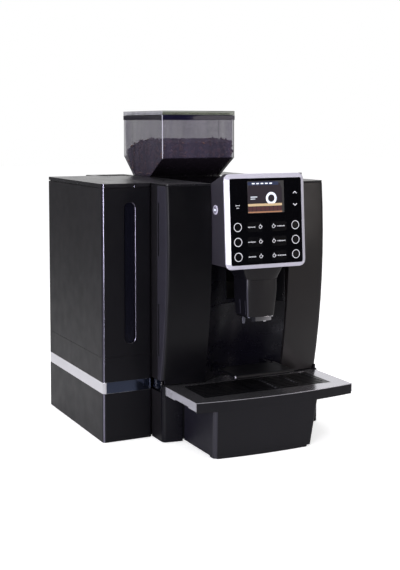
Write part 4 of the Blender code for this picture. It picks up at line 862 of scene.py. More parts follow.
@dataclass
class Casing(SubAssembly):
    """The fixed outer panels of the main body."""

    side_tilt: float = 0.8
    corner_tilt: float = 0.3
    band_split_x: float = -0.1500
    blade_side: float = 0.0070
    blade_rise: float = 0.0020
    blade_width: float = 0.0020
    blade_height: float = 0.0040
    blade_foot: float = 0.0030
    blade_length: float = 0.0140
    screw_inset: float = 0.0120
    screw_radius: float = 0.0034
    screw_proud: float = 0.0012
    screw_sunk_share: float = 0.8
    crown_rim_share: float = 0.35
    crown_rise_share: float = 0.3
    cross_reach_share: float = 0.55
    cross_width_share: float = 0.12
    cross_floor_share: float = 0.4

    def build(self) -> None:
        """Refines and dresses every outer panel."""
        wing = self.refine("left_wing", "wing_plastic", Edge.BROAD)
        # painted light: the left wing's side faces get a lighter copy of its plastic
        self.face_finish(wing, "lit_strip_plastic", facing(x=-1.0, least=self.side_tilt))
        # painted light: the right wing gets a lighter, warmer copy of the wing plastic
        for piece in (wing, self.refine("right_wing", "lit_right_plastic", Edge.BROAD)):
            # painted light: the upward faces get a lighter plastic
            self.face_finish(piece, "lit_top_plastic", facing(z=1.0))
            # painted highlight: the rounded front corners get a lighter plastic
            self.face_finish(piece, "highlight_corner_plastic", self.on_corner)
        for node in ("left_side_panel", "right_side_panel", "service_door"):
            self.refine(node, "side_plastic")
        self.refine("top_cover", "lid_plastic")
        self.refine("centre_cover", "gloss_cover")
        for node in ("lower_front_left", "lower_front_right"):
            self.refine(node, "bay_plastic")
        self.refine("splash_panel", "bay_plastic", Edge.THIN)
        self.refine("rear_panel", "base_plastic")
        self.refine("base_plate", "base_plastic")
        band = self.refine("trim_band", "bright_chrome", Edge.FINE)
        # painted reflection: these faces get a dark navy metal in place of the chrome
        self.face_finish(band, "band_dark_reflection", self.mirrors_dark)
        self.refine("mains_inlet", "base_plastic", Edge.THIN)
        self.inlet_blades()
        self.rear_screws()

    def on_corner(self, middle: Vector, normal: Vector) -> bool:
        """Whether a face lies on the rounding of one of a wing's front corners, which gets a painted
        highlight.
        """
        return abs(normal.x) > self.corner_tilt and normal.y < -self.corner_tilt

    def mirrors_dark(self, middle: Vector, normal: Vector) -> bool:
        """Whether a face of the bright band looks forward, or at the tank beside it, where the band gets a
        painted dark reflection.
        """
        return normal.y < -0.99 or (normal.x < -FACING and middle.x > self.band_split_x)

    def inlet_blades(self) -> None:
        """Sets the three contact blades into the mains inlet."""
        low, high = corners("mains_inlet")
        start = low.y + self.blade_foot
        half = Vector((self.blade_width / 2, 0.0, self.blade_height / 2))
        blades = []
        for across, up in ((-self.blade_side, -self.blade_rise), (self.blade_side, -self.blade_rise),
                           (0.0, self.blade_rise)):
            foot = Vector(((low.x + high.x) / 2 + across, start, (low.z + high.z) / 2 + up))
            blades.append(block("blade", foot - half, foot + half + Vector((0.0, self.blade_length, 0.0))))
        pins = gather("inlet_blades", blades)
        soften(pins, *Edge.FINE.value)
        self.fit(pins, "brass_pin", "mains_inlet")

    def rear_screws(self) -> None:
        """Lays pan-head screws near the rear panel's corners and half way up its edges."""
        low, high = corners("rear_panel")
        inset = self.screw_inset
        back = Vector((0.0, 1.0, 0.0))
        turn = back.to_track_quat("Z", "Y").to_matrix().to_4x4()
        head = self.screw()
        face = high.y - self.screw_proud * self.screw_sunk_share
        heads = [copied(head, Matrix.Translation((x, face, z)) @ turn)
                 for x in (low.x + inset, high.x - inset)
                 for z in (low.z + 3 * inset, (low.z + high.z) / 2, high.z - inset)]
        bpy.data.objects.remove(head)
        laid = gather("rear_screws", heads)
        soften(laid, *Edge.HAIR.value)
        self.fit(laid, "screw_steel", "rear_panel")

    def screw(self) -> bpy.types.Object:
        """Models one screw's pan head, face up, with a raised crown and a cross recess.

        Returns:
            The head.
        """
        radius, proud = self.screw_radius, self.screw_proud
        head = rod("screw", (0.0, 0.0, proud / 2), radius, proud, sides=24)
        with editing(head):
            pick_faces(head, facing(z=1.0))
            bpy.ops.mesh.inset(thickness=radius * self.crown_rim_share, depth=proud * self.crown_rise_share)
        reach, width = radius * self.cross_reach_share, radius * self.cross_width_share
        for turn in (0.0, math.pi / 2):
            bar = block("cross", (-reach, -width, proud * self.cross_floor_share), (reach, width, 2 * proud))
            bar.data.transform(Matrix.Rotation(turn, 4, "Z"))
            finish_with(head, "BOOLEAN", operation="DIFFERENCE", solver="EXACT", object=bar)
            bpy.data.objects.remove(bar)
        return head


@dataclass
class WaterTank(SubAssembly):
    """The lift-out tank, its lid and the dock under it."""

    front_y: float = -0.0795
    window_x: float = -0.1543
    window_half_width: float = 0.0103
    window_z: Span = (0.16, 0.43)
    window_rounding: float = 0.0018
    rim_reach: float = 0.0001
    recess_margin: float = 0.0015
    recess_depth: float = 0.0040
    recess_tilt: float = 0.3
    sheen_tilt: float = 0.5
    grip_ridges: int = 6
    grip_set: float = 0.0012
    grip_rise: float = 0.0008
    grip_share: float = 0.7

    def build(self) -> None:
        """Refines and dresses the tank's pieces."""
        tank = self.refine("tank_body", "side_plastic", Edge.SOFT, (self.on_window_rim, self.window_rounding))
        # painted shade: the front faces get a darker copy of the side plastic
        self.face_finish(tank, "shaded_front_plastic", facing(y=-1.0))
        # painted highlight: the near corner and the recess's far side get a bright metal
        self.face_finish(tank, "painted_edge_sheen", self.catches_light)
        lid = self.refine("tank_lid", "lid_plastic", Edge.SOFT)
        # painted highlight: the lid's near corner gets a bright metal
        self.face_finish(lid, "painted_edge_sheen", self.on_corner)
        self.lid_grip()
        base = self.refine("tank_base", "side_plastic", Edge.SOFT)
        # painted shade: the front faces get a darker copy of the side plastic
        self.face_finish(base, "shaded_front_plastic", facing(y=-1.0))
        # painted highlight: the base's near corner gets a bright metal
        self.face_finish(base, "painted_edge_sheen", self.on_corner)
        self.refine("tank_window", "window_plastic", Edge.FINE)
        self.paint("pale_plastic", "tank_valve")
        self.paint("base_plastic", "dock_socket")

    def lid_grip(self) -> None:
        """Adds the short ridges along the front edge of the lid's finger notch, pale as a painted highlight.
        """
        low, high = corners("tank_lid")
        start = self.window_x - self.window_half_width
        step = 2 * self.window_half_width / self.grip_ridges
        front, foot = low.y + self.grip_set, high.z - self.grip_rise
        grip = gather("lid_grip", [
            block("ridge", (start + step * index, front, foot),
                  (start + step * (index + self.grip_share), front + self.grip_set, high.z))
            for index in range(self.grip_ridges)])
        soften(grip, *Edge.HAIR.value)
        self.fit(grip, "painted_grip_sheen", "tank_lid")

    def on_window_rim(self, middle: Vector, way: Vector) -> bool:
        """Whether an edge lies on the front rim of the level window's recess."""
        near = abs(middle.x - self.window_x) < self.window_half_width
        return (near and abs(middle.y - self.front_y) < self.rim_reach
                and self.window_z[0] < middle.z < self.window_z[1])

    def on_corner(self, middle: Vector, normal: Vector) -> bool:
        """Whether a face lies on the middle of the near upright corner's rounding, which gets a painted
        highlight.
        """
        return max(normal.x, normal.y) < -self.sheen_tilt

    def catches_light(self, middle: Vector, normal: Vector) -> bool:
        """Tells whether a face lies on the near corner, or on the recess's far side: the faces that get a
        painted highlight.

        Args:
            middle: the face's centre.
            normal: its normal.

        Returns:
            Whether it does.
        """
        inside = abs(middle.x - self.window_x) < self.window_half_width + self.recess_margin
        far_side = inside and normal.x < -self.recess_tilt and middle.y < self.front_y + self.recess_depth
        return self.on_corner(middle, normal) or far_side


@dataclass
class BeanHopper(SubAssembly):
    """The smoked hopper, its lid and the beans in it."""

    left_x: float = -0.0302
    front_y: float = 0.0578
    wall: float = 0.0025
    shoulder: float = 0.4893
    rim_bottom: float = 0.5630
    rim_lap: float = 0.0002
    shoulder_lap: float = 0.0012
    upright_rounding: float = 0.0023
    upright_tilt: float = 0.2
    corner_reach: float = 0.0012
    corner_foot: float = 0.0010
    corner_tilt: float = 0.4
    edge_margin: float = 0.0004
    lid_bevel_tilt: Span = (0.25, 0.97)
    rib_width: float = 0.0011
    rib_depth: float = 0.0005
    rib_root: float = 0.0001
    rib_foot: float = 0.5005
    rib_front_rise: float = 0.0120
    rib_top: float = 0.5620
    front_ribs: tuple[float, ...] = (0.0165, 0.0905)
    side_ribs: tuple[float, ...] = (0.1215, 0.2087)
    beans: int = 1700
    bean_half: tuple[float, float, float] = (0.0032, 0.0020, 0.0043)
    groove_tilt: float = 0.8
    groove_share: float = 0.8
    bean_seed: int = 11
    bean_tilt: float = 0.20
    side_bean_tilt: float = 0.12
    level_tilt: float = 0.5
    bean_sunk: Span = (0.0002, 0.0008)
    bean_size: Span = (0.86, 1.08)
    core_shrink: float = 0.0032

    def build(self) -> None:
        """Refines and dresses the hopper and fills it with beans."""
        upright = (self.on_near_upright, self.upright_rounding)
        body = self.refine("hopper_body", "smoked_plastic", Edge.BROAD, upright)
        rim = self.rim_bottom - self.rim_lap
        funnel = self.shoulder + self.shoulder_lap
        # painted shade: the funnel below the shoulder gets a darker, nearly opaque smoke
        self.face_finish(body, "shaded_funnel_smoke", lambda middle, normal: middle.z < funnel)
        self.face_finish(body, "rim_smoke", lambda middle, normal: middle.z > rim)
        # painted shade: the rim's front faces get a darker copy of the rim smoke
        self.face_finish(body, "shaded_rim_front", lambda middle, normal: middle.z > rim and normal.y < -FACING)
        # painted shade: the upright edges' roundings get a dark, opaque smoke
        self.face_finish(body, "shaded_corner_smoke", self.on_upright)
        self.edge_bands(body)
        # painted highlight: the near corner's rounding gets a pale plastic
        self.face_finish(body, "painted_glint_plastic", self.on_near_corner)
        lid = self.refine("hopper_lid", "lid_clear", Edge.SOFT)
        low, high = self.lid_bevel_tilt
        # painted light: the lid's left faces get a lighter grey
        self.face_finish(lid, "lit_lid_side", facing(x=-1.0))
        # painted shade: the lid's slanted bevels get the dark rim smoke, as dark outlines
        self.face_finish(lid, "rim_smoke", lambda middle, normal: low < abs(normal.z) < high)
        # painted highlight: the lid's near corner gets a pale plastic
        self.face_finish(lid, "painted_glint_plastic", self.on_near_corner)
        self.ribs()
        self.fill()

    def on_near_upright(self, middle: Vector, way: Vector) -> bool:
        """Whether an edge is the outer near upright of the straight walls."""
        near = max(abs(middle.x - self.left_x), abs(middle.y - self.front_y)) < self.corner_reach
        return near and abs(way.z) > FACING and middle.z > self.shoulder

    def edge_bands(self, body: bpy.types.Object) -> None:
        """Darkens the far margins of the two seen walls with painted shade, where the light passes a wall
        edgeways.

        Args:
            body: the hopper's fine piece.
        """
        high = corners("hopper_body")[1]
        margin = self.wall + self.edge_margin
        back, right = high.y - margin, high.x - margin
        for place, way in (((0.0, back, 0.0), (0.0, 1.0, 0.0)), ((right, 0.0, 0.0), (1.0, 0.0, 0.0))):
            with editing(body, chosen="SELECT"):
                bpy.ops.mesh.bisect(plane_co=place, plane_no=way)
        # painted shade: the far margins get a dark, opaque smoke
        self.face_finish(body, "shaded_corner_smoke", lambda middle, normal: (
            self.shoulder < middle.z < self.rim_bottom
            and ((normal.x < -FACING and middle.y > back) or (normal.y < -FACING and middle.x > right))))

    def on_upright(self, middle: Vector, normal: Vector) -> bool:
        """Whether a face lies on the rounding of one of the upright edges, which gets painted shade."""
        return middle.z > self.shoulder and min(abs(normal.x), abs(normal.y)) > self.upright_tilt

    def on_near_corner(self, middle: Vector, normal: Vector) -> bool:
        """Whether a face lies on the near upright's rounding, rim and all, which gets a painted highlight."""
        outside = middle.x < self.left_x + self.wall and middle.y < self.front_y + self.wall
        return (outside and middle.z > self.shoulder + self.corner_foot
                and max(normal.x, normal.y) < -self.corner_tilt)

    def ribs(self) -> None:
        """Adds the thin moulded ribs that run down the inside of the walls."""
        half = self.rib_width / 2
        face = self.front_y + self.wall
        pieces = [block("rib", (x - half, face - self.rib_root, self.rib_foot + self.rib_front_rise),
                        (x + half, face + self.rib_depth, self.rib_top)) for x in self.front_ribs]
        face = self.left_x + self.wall
        pieces += [block("rib", (face - self.rib_root, y - half, self.rib_foot),
                         (face + self.rib_depth, y + half, self.rib_top)) for y in self.side_ribs]
        ribs = gather("hopper_ribs", pieces)
        soften(ribs, *Edge.HAIR.value)
        self.fit(ribs, "rib_smoke", "hopper_body")

    def bean(self) -> bpy.types.Object:
        """Models one roasted bean, flat side down, with the groove along it.

        Returns:
            The bean.
        """
        put_down()
        bpy.ops.mesh.primitive_uv_sphere_add(segments=10, ring_count=5, radius=1.0)
        piece = settle("bean")
        height = self.bean_half[1]
        with editing(piece, "VERT", "SELECT"):
            bpy.ops.transform.resize(value=self.bean_half)
        with editing(piece, "EDGE"):
            pick_edges(piece, lambda middle, way: (
                middle.y < -FACING * height and abs(way.z) > self.groove_tilt))
            bpy.ops.transform.translate(value=(0.0, self.groove_share * height, 0.0))
        take(piece)
        bpy.ops.object.shade_smooth()
        return piece

    def fill(self) -> None:
        """Lays beans all over the heap, with a dark core under them: the deeper beans, in painted shade."""
        core = copied_node("coffee_beans", "shaded_bean_core")
        with editing(core, "VERT", "SELECT"):
            bpy.ops.mesh.remove_doubles(threshold=MERGE_REACH)
            bpy.ops.mesh.normals_make_consistent(inside=False)
            bpy.ops.transform.shrink_fatten(value=-self.core_shrink)
        self.fit(core, "shaded_bean_core", "coffee_beans")
        draw = random.Random(self.bean_seed)
        mesh = frame["nodes"]["coffee_beans"].data
        mesh.calc_loop_triangles()
        triangles = [triangle for triangle in mesh.loop_triangles if triangle.area > 0.0]
        weights = [triangle.area for triangle in triangles]
        model = self.bean()
        pieces = [copied(model, self.bean_place(mesh, triangle, draw))
                  for triangle in draw.choices(triangles, weights, k=self.beans)]
        bpy.data.objects.remove(model)
        self.fit(gather("bean_heap", pieces), "bean_skin", "coffee_beans", stands_for=True)

    def bean_place(self, mesh: bpy.types.Mesh, triangle: bpy.types.MeshLoopTriangle,
                   draw: random.Random) -> Matrix:
        """Draws how one bean lies on a triangle of the heap.

        Args:
            mesh: the heap's mesh.
            triangle: the triangle it lies on.
            draw: the seeded source of its place and turn.

        Returns:
            The bean's place, turn and size.
        """
        ends = [mesh.vertices[index].co for index in triangle.vertices]
        first, second = draw.random(), draw.random()
        if first + second > 1.0:
            first, second = 1.0 - first, 1.0 - second
        place = ends[0] + (ends[1] - ends[0]) * first + (ends[2] - ends[0]) * second
        normal = triangle.normal
        side = normal.orthogonal().normalized()
        side.rotate(Matrix.Rotation(draw.uniform(0.0, math.tau), 3, normal))
        most = self.bean_tilt if normal.z > self.level_tilt else self.side_bean_tilt
        tip = draw.uniform(-most, most)
        way = (normal * draw.choice((-1.0, 1.0)) + side * tip).normalized()
        turn = way.to_track_quat("Y", "Z").to_matrix().to_4x4()
        roll = Matrix.Rotation(draw.uniform(0.0, math.tau), 4, way)
        depth = self.bean_half[1] + abs(tip) * self.bean_half[2] + draw.uniform(*self.bean_sunk)
        size = draw.uniform(*self.bean_size)
        return Matrix.Translation(place - normal * depth) @ roll @ turn @ Matrix.Scale(size, 4)


@dataclass
class DisplayHead(SubAssembly):
    """The proud head with its bright frame, glass, screen and buttons.

    Places on the glass are spans across it and up it, in metres from the foot of its middle.
    """

    foot: Place = (0.04685, -0.2030, 0.3125)
    lean: float = 3.445
    print_stand: float = 0.00685
    picture_stand: float = 0.00655
    relief: float = 0.00012
    power_middle: Place = (-0.0311, -0.1635, 0.4077)
    power_radius: float = 0.0084
    power_face_share: float = 0.70
    power_glint_shares: Span = (0.50, 0.20)
    ring_radius: float = 0.0071
    ring_line: float = 0.00062
    print_seed: int = 5
    bar_width: Span = (0.0007, 0.0011)
    bar_height: Span = (0.0007, 0.0010)
    bar_gap: float = 0.0007
    arrow_x: float = 0.0575
    arrow_rows: tuple[Span, ...] = ((0.1238, 1.0), (0.1027, -1.0))
    arrow_spread: float = 0.0018
    arrow_half: Span = (0.0025, 0.0006)
    arrow_turn: float = 42.0
    menu_rows: tuple[tuple[float, float, int], ...] = ((-0.0592, 0.1042, 5), (-0.0572, 0.0999, 3))
    label_rows: tuple[float, ...] = (0.0668, 0.0414, 0.0163)
    label_words: tuple[tuple[float, int], ...] = ((-0.0365, 9), (0.0205, 10))
    label_panels: tuple[Span, ...] = ((-0.0380, -0.0085), (0.0090, 0.0390))
    panel_half: float = 0.0085
    drops: tuple[float, ...] = (-0.0125, 0.0135)
    drop_radius: float = 0.0026
    drop_line: float = 0.00042
    drop_stem: tuple[Span, Span] = ((-0.0004, 0.0004), (0.0030, 0.0046))
    drop_tail: tuple[Span, Span] = ((0.0024, 0.0042), (-0.0002, 0.0008))
    drop_tail_turn: float = 40.0
    layer_share: float = 0.6
    gauge: tuple[float, float, float] = (0.0105, 0.1150, 0.0085)
    gauge_line: float = 0.0022

    GROUND = (
        ("screen_ground", "screen_dark", (-0.0356, 0.0318), (0.0904, 0.1448)),
        ("screen_margin", "screen_case", (0.0325, 0.0356), (0.0904, 0.1448)),
    )
    BAR = ("screen_bar", "screen_blue", (-0.0352, 0.0250), (0.1378, 0.1436))
    LEDGES = (
        ("screen_ledge", "screen_beige", (-0.0352, 0.0314), (0.1020, 0.1062)),
        ("screen_foot", "screen_amber", (-0.0352, 0.0314), (0.0907, 0.0930)),
    )
    CAPTIONS = (((-0.0300, -0.0170), (0.1172, 0.1184)), ((-0.0300, -0.0210), (0.1140, 0.1150)))
    SIGNS = (5, 0.0085, (-0.0270, -0.0215), (0.1396, 0.1416))
    BLOCKS = (8, 0.0083, (-0.0350, -0.0276), (0.0936, 0.1014))

    def place(self) -> Matrix:
        """The head's plane: X across, Y up and Z out of the glass."""
        return Matrix.Translation(self.foot) @ Matrix.Rotation(math.radians(90.0 - self.lean), 4, "X")

    def build(self) -> None:
        """Refines and dresses the head's pieces."""
        self.refine("head_housing", "head_plastic", Edge.SOFT)
        self.refine("display_frame", "frame_paint", Edge.FRAME)
        self.refine("control_glass", "glass_black", Edge.HAIR)
        self.paint("screen_case", "screen")
        self.refine("button_rings", "key_plastic", Edge.HAIR)
        for number in range(1, 7):
            self.refine("button_%d" % number, "key_plastic", Edge.FINE)
        self.ring_lines()
        self.refine("power_button", "button_paint", Edge.FINE)
        self.power_face()
        self.print_marks()
        self.draw_picture()

    def slab(self, across: Span, up: Span, stand: float, turn: float = 0.0,
             name: str = "patch") -> bpy.types.Object:
        """One thin printed patch on the head's plane.

        Args:
            across: its span across the glass.
            up: its span up the glass.
            stand: how far its back stands out of the head's plane.
            turn: how far it is turned about its middle, in degrees.
            name: its name, where it stays a piece of its own.

        Returns:
            The patch, with soft corners.
        """
        half = Vector(((across[1] - across[0]) / 2, (up[1] - up[0]) / 2, self.relief / 2))
        piece = block(name, -half, half)
        with editing(piece, "EDGE"):
            pick_edges(piece, along(2))
            bpy.ops.mesh.bevel(offset=min(half.x, half.y) / 2, segments=2, affect="EDGES")
        middle = Matrix.Translation((sum(across) / 2, sum(up) / 2, stand + half.z))
        piece.data.transform(self.place() @ middle @ Matrix.Rotation(math.radians(turn), 4, "Z"))
        return piece

    def ring(self, across: float, up: float, radius: float, line: float, stand: float) -> bpy.types.Object:
        """One thin printed ring on the head's plane.

        Args:
            across: its middle across the glass.
            up: its middle up the glass.
            radius: its radius to the middle of its line.
            line: half the width of its line.
            stand: how far it stands out of the head's plane.

        Returns:
            The ring.
        """
        put_down()
        bpy.ops.mesh.primitive_torus_add(major_segments=24, minor_segments=6, major_radius=radius,
                                         minor_radius=line)
        piece = settle("ring")
        with editing(piece, "VERT", "SELECT"):
            bpy.ops.transform.resize(value=(1.0, 1.0, self.relief / (2 * line)))
        piece.data.transform(self.place() @ Matrix.Translation((across, up, stand + self.relief / 2)))
        take(piece)
        bpy.ops.object.shade_smooth()
        return piece

    def words(self, across: float, up: float, count: int, draw: random.Random) -> list[bpy.types.Object]:
        """A row of small bars in the place of a word.

        Args:
            across: where the row starts.
            up: the row's middle height.
            count: how many bars it has.
            draw: the seeded source of their widths.

        Returns:
            The bars.
        """
        bars = []
        for index in range(count):
            width = draw.uniform(*self.bar_width)
            height = draw.choice(self.bar_height)
            bars.append(self.slab((across, across + width), (up - height, up + height), self.print_stand))
            across += width + self.bar_gap
        return bars

    def ring_lines(self) -> None:
        """Lays the thin bright line on the top of each button's ring."""
        flat = self.place().inverted()
        stand = max((flat @ vertex.co).z for vertex in frame["nodes"]["button_rings"].data.vertices)
        lines = []
        for number in range(1, 7):
            low, high = corners("button_%d" % number)
            middle = flat @ ((low + high) / 2)
            lines.append(self.ring(middle.x, middle.y, self.ring_radius, self.ring_line, stand))
        self.fit(gather("ring_lines", lines), "ring_paint", "button_rings")

    def power_face(self) -> None:
        """Sets the recessed face into the power button, and the bright bar across it: a painted highlight
        that glows.
        """
        middle, radius = Vector(self.power_middle), self.power_radius
        face = rod("power_face", middle, radius * self.power_face_share, self.relief, (-1.0, 0.0, 0.0), 40)
        soften(face, self.relief / 4)
        self.fit(face, "button_face", "power_button")
        half = Vector((self.relief, *(radius * share for share in self.power_glint_shares)))
        # painted highlight: a glowing white bar stands for the glint on the button
        bar = block("power_glint", middle - half, middle + half)
        with editing(bar, "EDGE"):
            pick_edges(bar, along(0))
            bpy.ops.mesh.bevel(offset=half.z * 0.95, segments=4, affect="EDGES")
        self.fit(bar, "screen_white", "power_button")

    def arrow(self, up: float, tilt: float) -> list[bpy.types.Object]:
        """The two strokes of an arrow.

        Args:
            up: its height up the glass.
            tilt: 1 where it points up, -1 where it points down.

        Returns:
            The strokes.
        """
        half_long, half_thick = self.arrow_half
        strokes = []
        for side in (-1.0, 1.0):
            middle = self.arrow_x + side * self.arrow_spread
            across = (middle - half_long, middle + half_long)
            strokes.append(self.slab(across, (up - half_thick, up + half_thick), self.print_stand,
                                     -side * tilt * self.arrow_turn))
        return strokes

    def drop(self, across: float, up: float) -> list[bpy.types.Object]:
        """A button's sign: a small ring with a stem and a tail.

        Args:
            across: its middle across the glass.
            up: its middle up the glass.

        Returns:
            Its pieces.
        """
        strokes = [self.ring(across, up, self.drop_radius, self.drop_line, self.print_stand)]
        for (wide, tall), turn in ((self.drop_stem, 0.0), (self.drop_tail, self.drop_tail_turn)):
            strokes.append(self.slab(tuple(across + end for end in wide), tuple(up + end for end in tall),
                                     self.print_stand, turn))
        return strokes

    def print_marks(self) -> None:
        """Prints the arrows, the menu mark, and each button's sign, row of bars and panel."""
        draw = random.Random(self.print_seed)
        marks = []
        for up, tilt in self.arrow_rows:
            marks += self.arrow(up, tilt)
        for across, up, count in self.menu_rows:
            marks += self.words(across, up, count, draw)
        for up in self.label_rows:
            for across, count in self.label_words:
                marks += self.words(across, up, count, draw)
            for across in self.drops:
                marks += self.drop(across, up)
        # painted light: the print white glows
        self.fit(gather("glass_print", marks), "print_white", "control_glass")
        below = self.print_stand - self.relief / 2
        panels = [self.slab(across, (up - self.panel_half, up + self.panel_half), below)
                  for across in self.label_panels for up in self.label_rows]
        self.fit(gather("label_panels", panels), "label_panel", "control_glass")

    def draw_picture(self) -> None:
        """Draws the screen's own plain picture: a bar of marks, a round gauge and bands."""
        near = self.picture_stand + self.relief * self.layer_share
        for name, finish, across, up in self.GROUND:
            self.fit(self.slab(across, up, self.picture_stand, name=name), finish, "screen")
        name, finish, across, up = self.BAR
        self.fit(self.slab(across, up, near, name=name), finish, "screen")
        white = self.row(self.SIGNS, near + self.relief)
        white.append(self.ring(*self.gauge, self.gauge_line, near))
        white += [self.slab(across, up, near) for across, up in self.CAPTIONS]
        self.fit(gather("screen_signs", white), "screen_white", "screen")
        for name, finish, across, up in self.LEDGES:
            self.fit(self.slab(across, up, near, name=name), finish, "screen")
        self.fit(gather("screen_blocks", self.row(self.BLOCKS, near)), "screen_brown", "screen")

    def row(self, plan: tuple[int, float, Span, Span], stand: float) -> list[bpy.types.Object]:
        """A row of like patches: how many, their pitch, and the first one's two spans."""
        count, pitch, (left, right), up = plan
        return [self.slab((left + pitch * step, right + pitch * step), up, stand) for step in range(count)]


@dataclass
class CoffeeSpout(SubAssembly):
    """The sliding spout under the head."""

    left_nozzle_x: float = 0.0340
    edge_tilt: Span = (-0.9, -0.45)
    nose_tilt: float = 0.3
    ridge_places: tuple[float, ...] = (-0.1630, -0.1813)
    ridge_low: float = 0.2250
    ridge_high: float = 0.2500
    ridge_width: float = 0.0011
    ridge_proud: float = 0.0006
    side_x: float = 0.01685
    taper_top: float = 0.2660
    taper_bottom: float = 0.2215
    taper: float = 0.0034

    def build(self) -> None:
        """Refines and dresses the spout's pieces."""
        collar = self.refine("spout_collar", "spout_plastic", Edge.THIN)
        body = self.refine("spout_body", "spout_plastic", Edge.CRISP)
        for piece in (collar, body):
            # painted shade: the left faces get a darker, bluer copy of the spout plastic
            self.face_finish(piece, "shaded_spout_side", facing(x=-1.0))
        # painted highlight: the turn from the left side to the nose gets a light plastic
        self.face_finish(body, "spout_edge_highlight", self.on_near_corner)
        nozzles = self.refine("spout_nozzles", "bright_chrome", Edge.FINE)
        # painted reflection: the left nozzle gets a dark copy of the chrome
        self.face_finish(nozzles, "shaded_chrome", lambda middle, normal: middle.x < self.left_nozzle_x)
        self.ridges()

    def on_near_corner(self, middle: Vector, normal: Vector) -> bool:
        """Whether a face lies on the turn from the spout's left side to its nose, which gets a painted
        highlight.
        """
        low, high = self.edge_tilt
        return low <= normal.x < high and normal.y < -self.nose_tilt

    def side_at(self, height: float) -> float:
        """Where the spout's left side stands at a height, which tapers towards the foot."""
        share = (self.taper_top - height) / (self.taper_top - self.taper_bottom)
        return self.side_x + self.taper * max(0.0, share)

    def ridges(self) -> None:
        """Raises the two short upright ridges on the spout's left side, light with a painted highlight."""
        foot, top = self.side_at(self.ridge_low), self.side_at(self.ridge_high)
        half = self.ridge_width / 2
        pieces = []
        for y in self.ridge_places:
            ridge = block("ridge", (top - self.ridge_proud, y - half, self.ridge_low),
                          (top + self.ridge_proud, y + half, self.ridge_high))
            with editing(ridge):
                pick_faces(ridge, facing(z=-1.0))
                bpy.ops.transform.translate(value=(foot - top, 0.0, 0.0))
            pieces.append(ridge)
        ridges = gather("spout_ridges", pieces)
        soften(ridges, *Edge.FINE.value)
        # painted highlight: the ridges get the light plastic
        self.fit(ridges, "spout_edge_highlight", "spout_body")


@dataclass
class DripTray(SubAssembly):
    """The steel tray with its drawer, grid and the cup shelf over it."""

    skirt_x: float = -0.1050
    drawer_left_x: float = -0.0745
    drawer_reach: Span = (-0.0010, 0.0060)
    drawer_tilt: Span = (-0.97, -0.25)
    drawer_nose_tilt: float = 0.2
    drawer_level_tilt: float = 0.5
    grid_lit_x: float = 0.0200
    grid_top: float = 0.0986
    slot_depth: float = 0.0030
    pip_half: tuple[float, float, float] = (0.0018, 0.0013, 0.0002)
    row_pitch: float = 0.0092
    pip_rows: tuple[tuple[float, float, int], ...] = ((0.0650, -0.2067, 8), (0.1133, -0.1883, 4))
    rod_end: Place = (-0.0117, -0.2019, 0.1226)
    cap_size: float = 0.0034
    cap_rounding: float = 0.0016

    def build(self) -> None:
        """Refines and dresses the tray's pieces."""
        steel = self.refine("tray_frame", "tray_steel", Edge.THIN)
        # painted reflection: the left skirt's outer face gets a pale finish in place of the steel
        self.face_finish(steel, "skirt_painted_reflection", self.on_left_skirt)
        front = self.refine("tray_front", "drawer_plastic", Edge.BROAD)
        # painted light: the left faces get a lighter, bluer copy of the drawer plastic
        self.face_finish(front, "lit_drawer_side", facing(x=-1.0))
        # painted highlight: the left corner's rounding gets a lighter plastic
        self.face_finish(front, "drawer_edge_highlight", self.on_drawer_corner)
        grid = self.refine("drip_grid", "grid_plastic", Edge.FINE)
        # painted highlight: the far slot ends in the grid's right half get a pale plastic
        self.face_finish(grid, "grid_painted_highlight", self.on_slot_end)
        self.pips()
        self.refine("cup_shelf", "grid_plastic", Edge.CRISP)
        self.refine("shelf_rod", "rod_plastic", Edge.HAIR)
        cap = rod("shelf_rod_cap", self.rod_end, self.cap_size, self.cap_size, (1.0, 0.0, 0.0), 28)
        soften(cap, self.cap_rounding, 5)
        self.fit(cap, "edge_glint", "shelf_rod")
        self.paint("base_plastic", "shelf_pin", "drip_tray", "grounds_container")

    def on_left_skirt(self, middle: Vector, normal: Vector) -> bool:
        """Whether a face is the outer face of the tray's left skirt, which gets a painted reflection of the
        bright surroundings.
        """
        return normal.x < -FACING and middle.x < self.skirt_x

    def on_drawer_corner(self, middle: Vector, normal: Vector) -> bool:
        """Tells whether a face lies on the rounding of the drawer front's left edge, which gets a painted
        highlight.

        Args:
            middle: the face's centre.
            normal: its normal.

        Returns:
            Whether it does.
        """
        near = self.drawer_reach[0] < middle.x - self.drawer_left_x < self.drawer_reach[1]
        turned = self.drawer_tilt[0] < normal.x < self.drawer_tilt[1] and normal.y < -self.drawer_nose_tilt
        return near and turned and abs(normal.z) < self.drawer_level_tilt

    def on_slot_end(self, middle: Vector, normal: Vector) -> bool:
        """Whether a face is the far end of a slot in the grid's right half, which gets a painted highlight.
        """
        near_top = middle.z > self.grid_top - self.slot_depth
        return near_top and middle.x > self.grid_lit_x and normal.x < -FACING

    def pips(self) -> None:
        """Sets small pale pips between the slots, along two of the grid's cross ribs, as painted highlights.
        """
        half = Vector(self.pip_half)
        middles = [Vector((x, first + index * self.row_pitch, self.grid_top))
                   for x, first, count in self.pip_rows for index in range(count)]
        pips = gather("grid_pips", [block("pip", middle - half, middle + half) for middle in middles])
        soften(pips, *Edge.FAINT.value)
        # painted highlight: the pips get the pale plastic
        self.fit(pips, "grid_painted_highlight", "drip_grid")


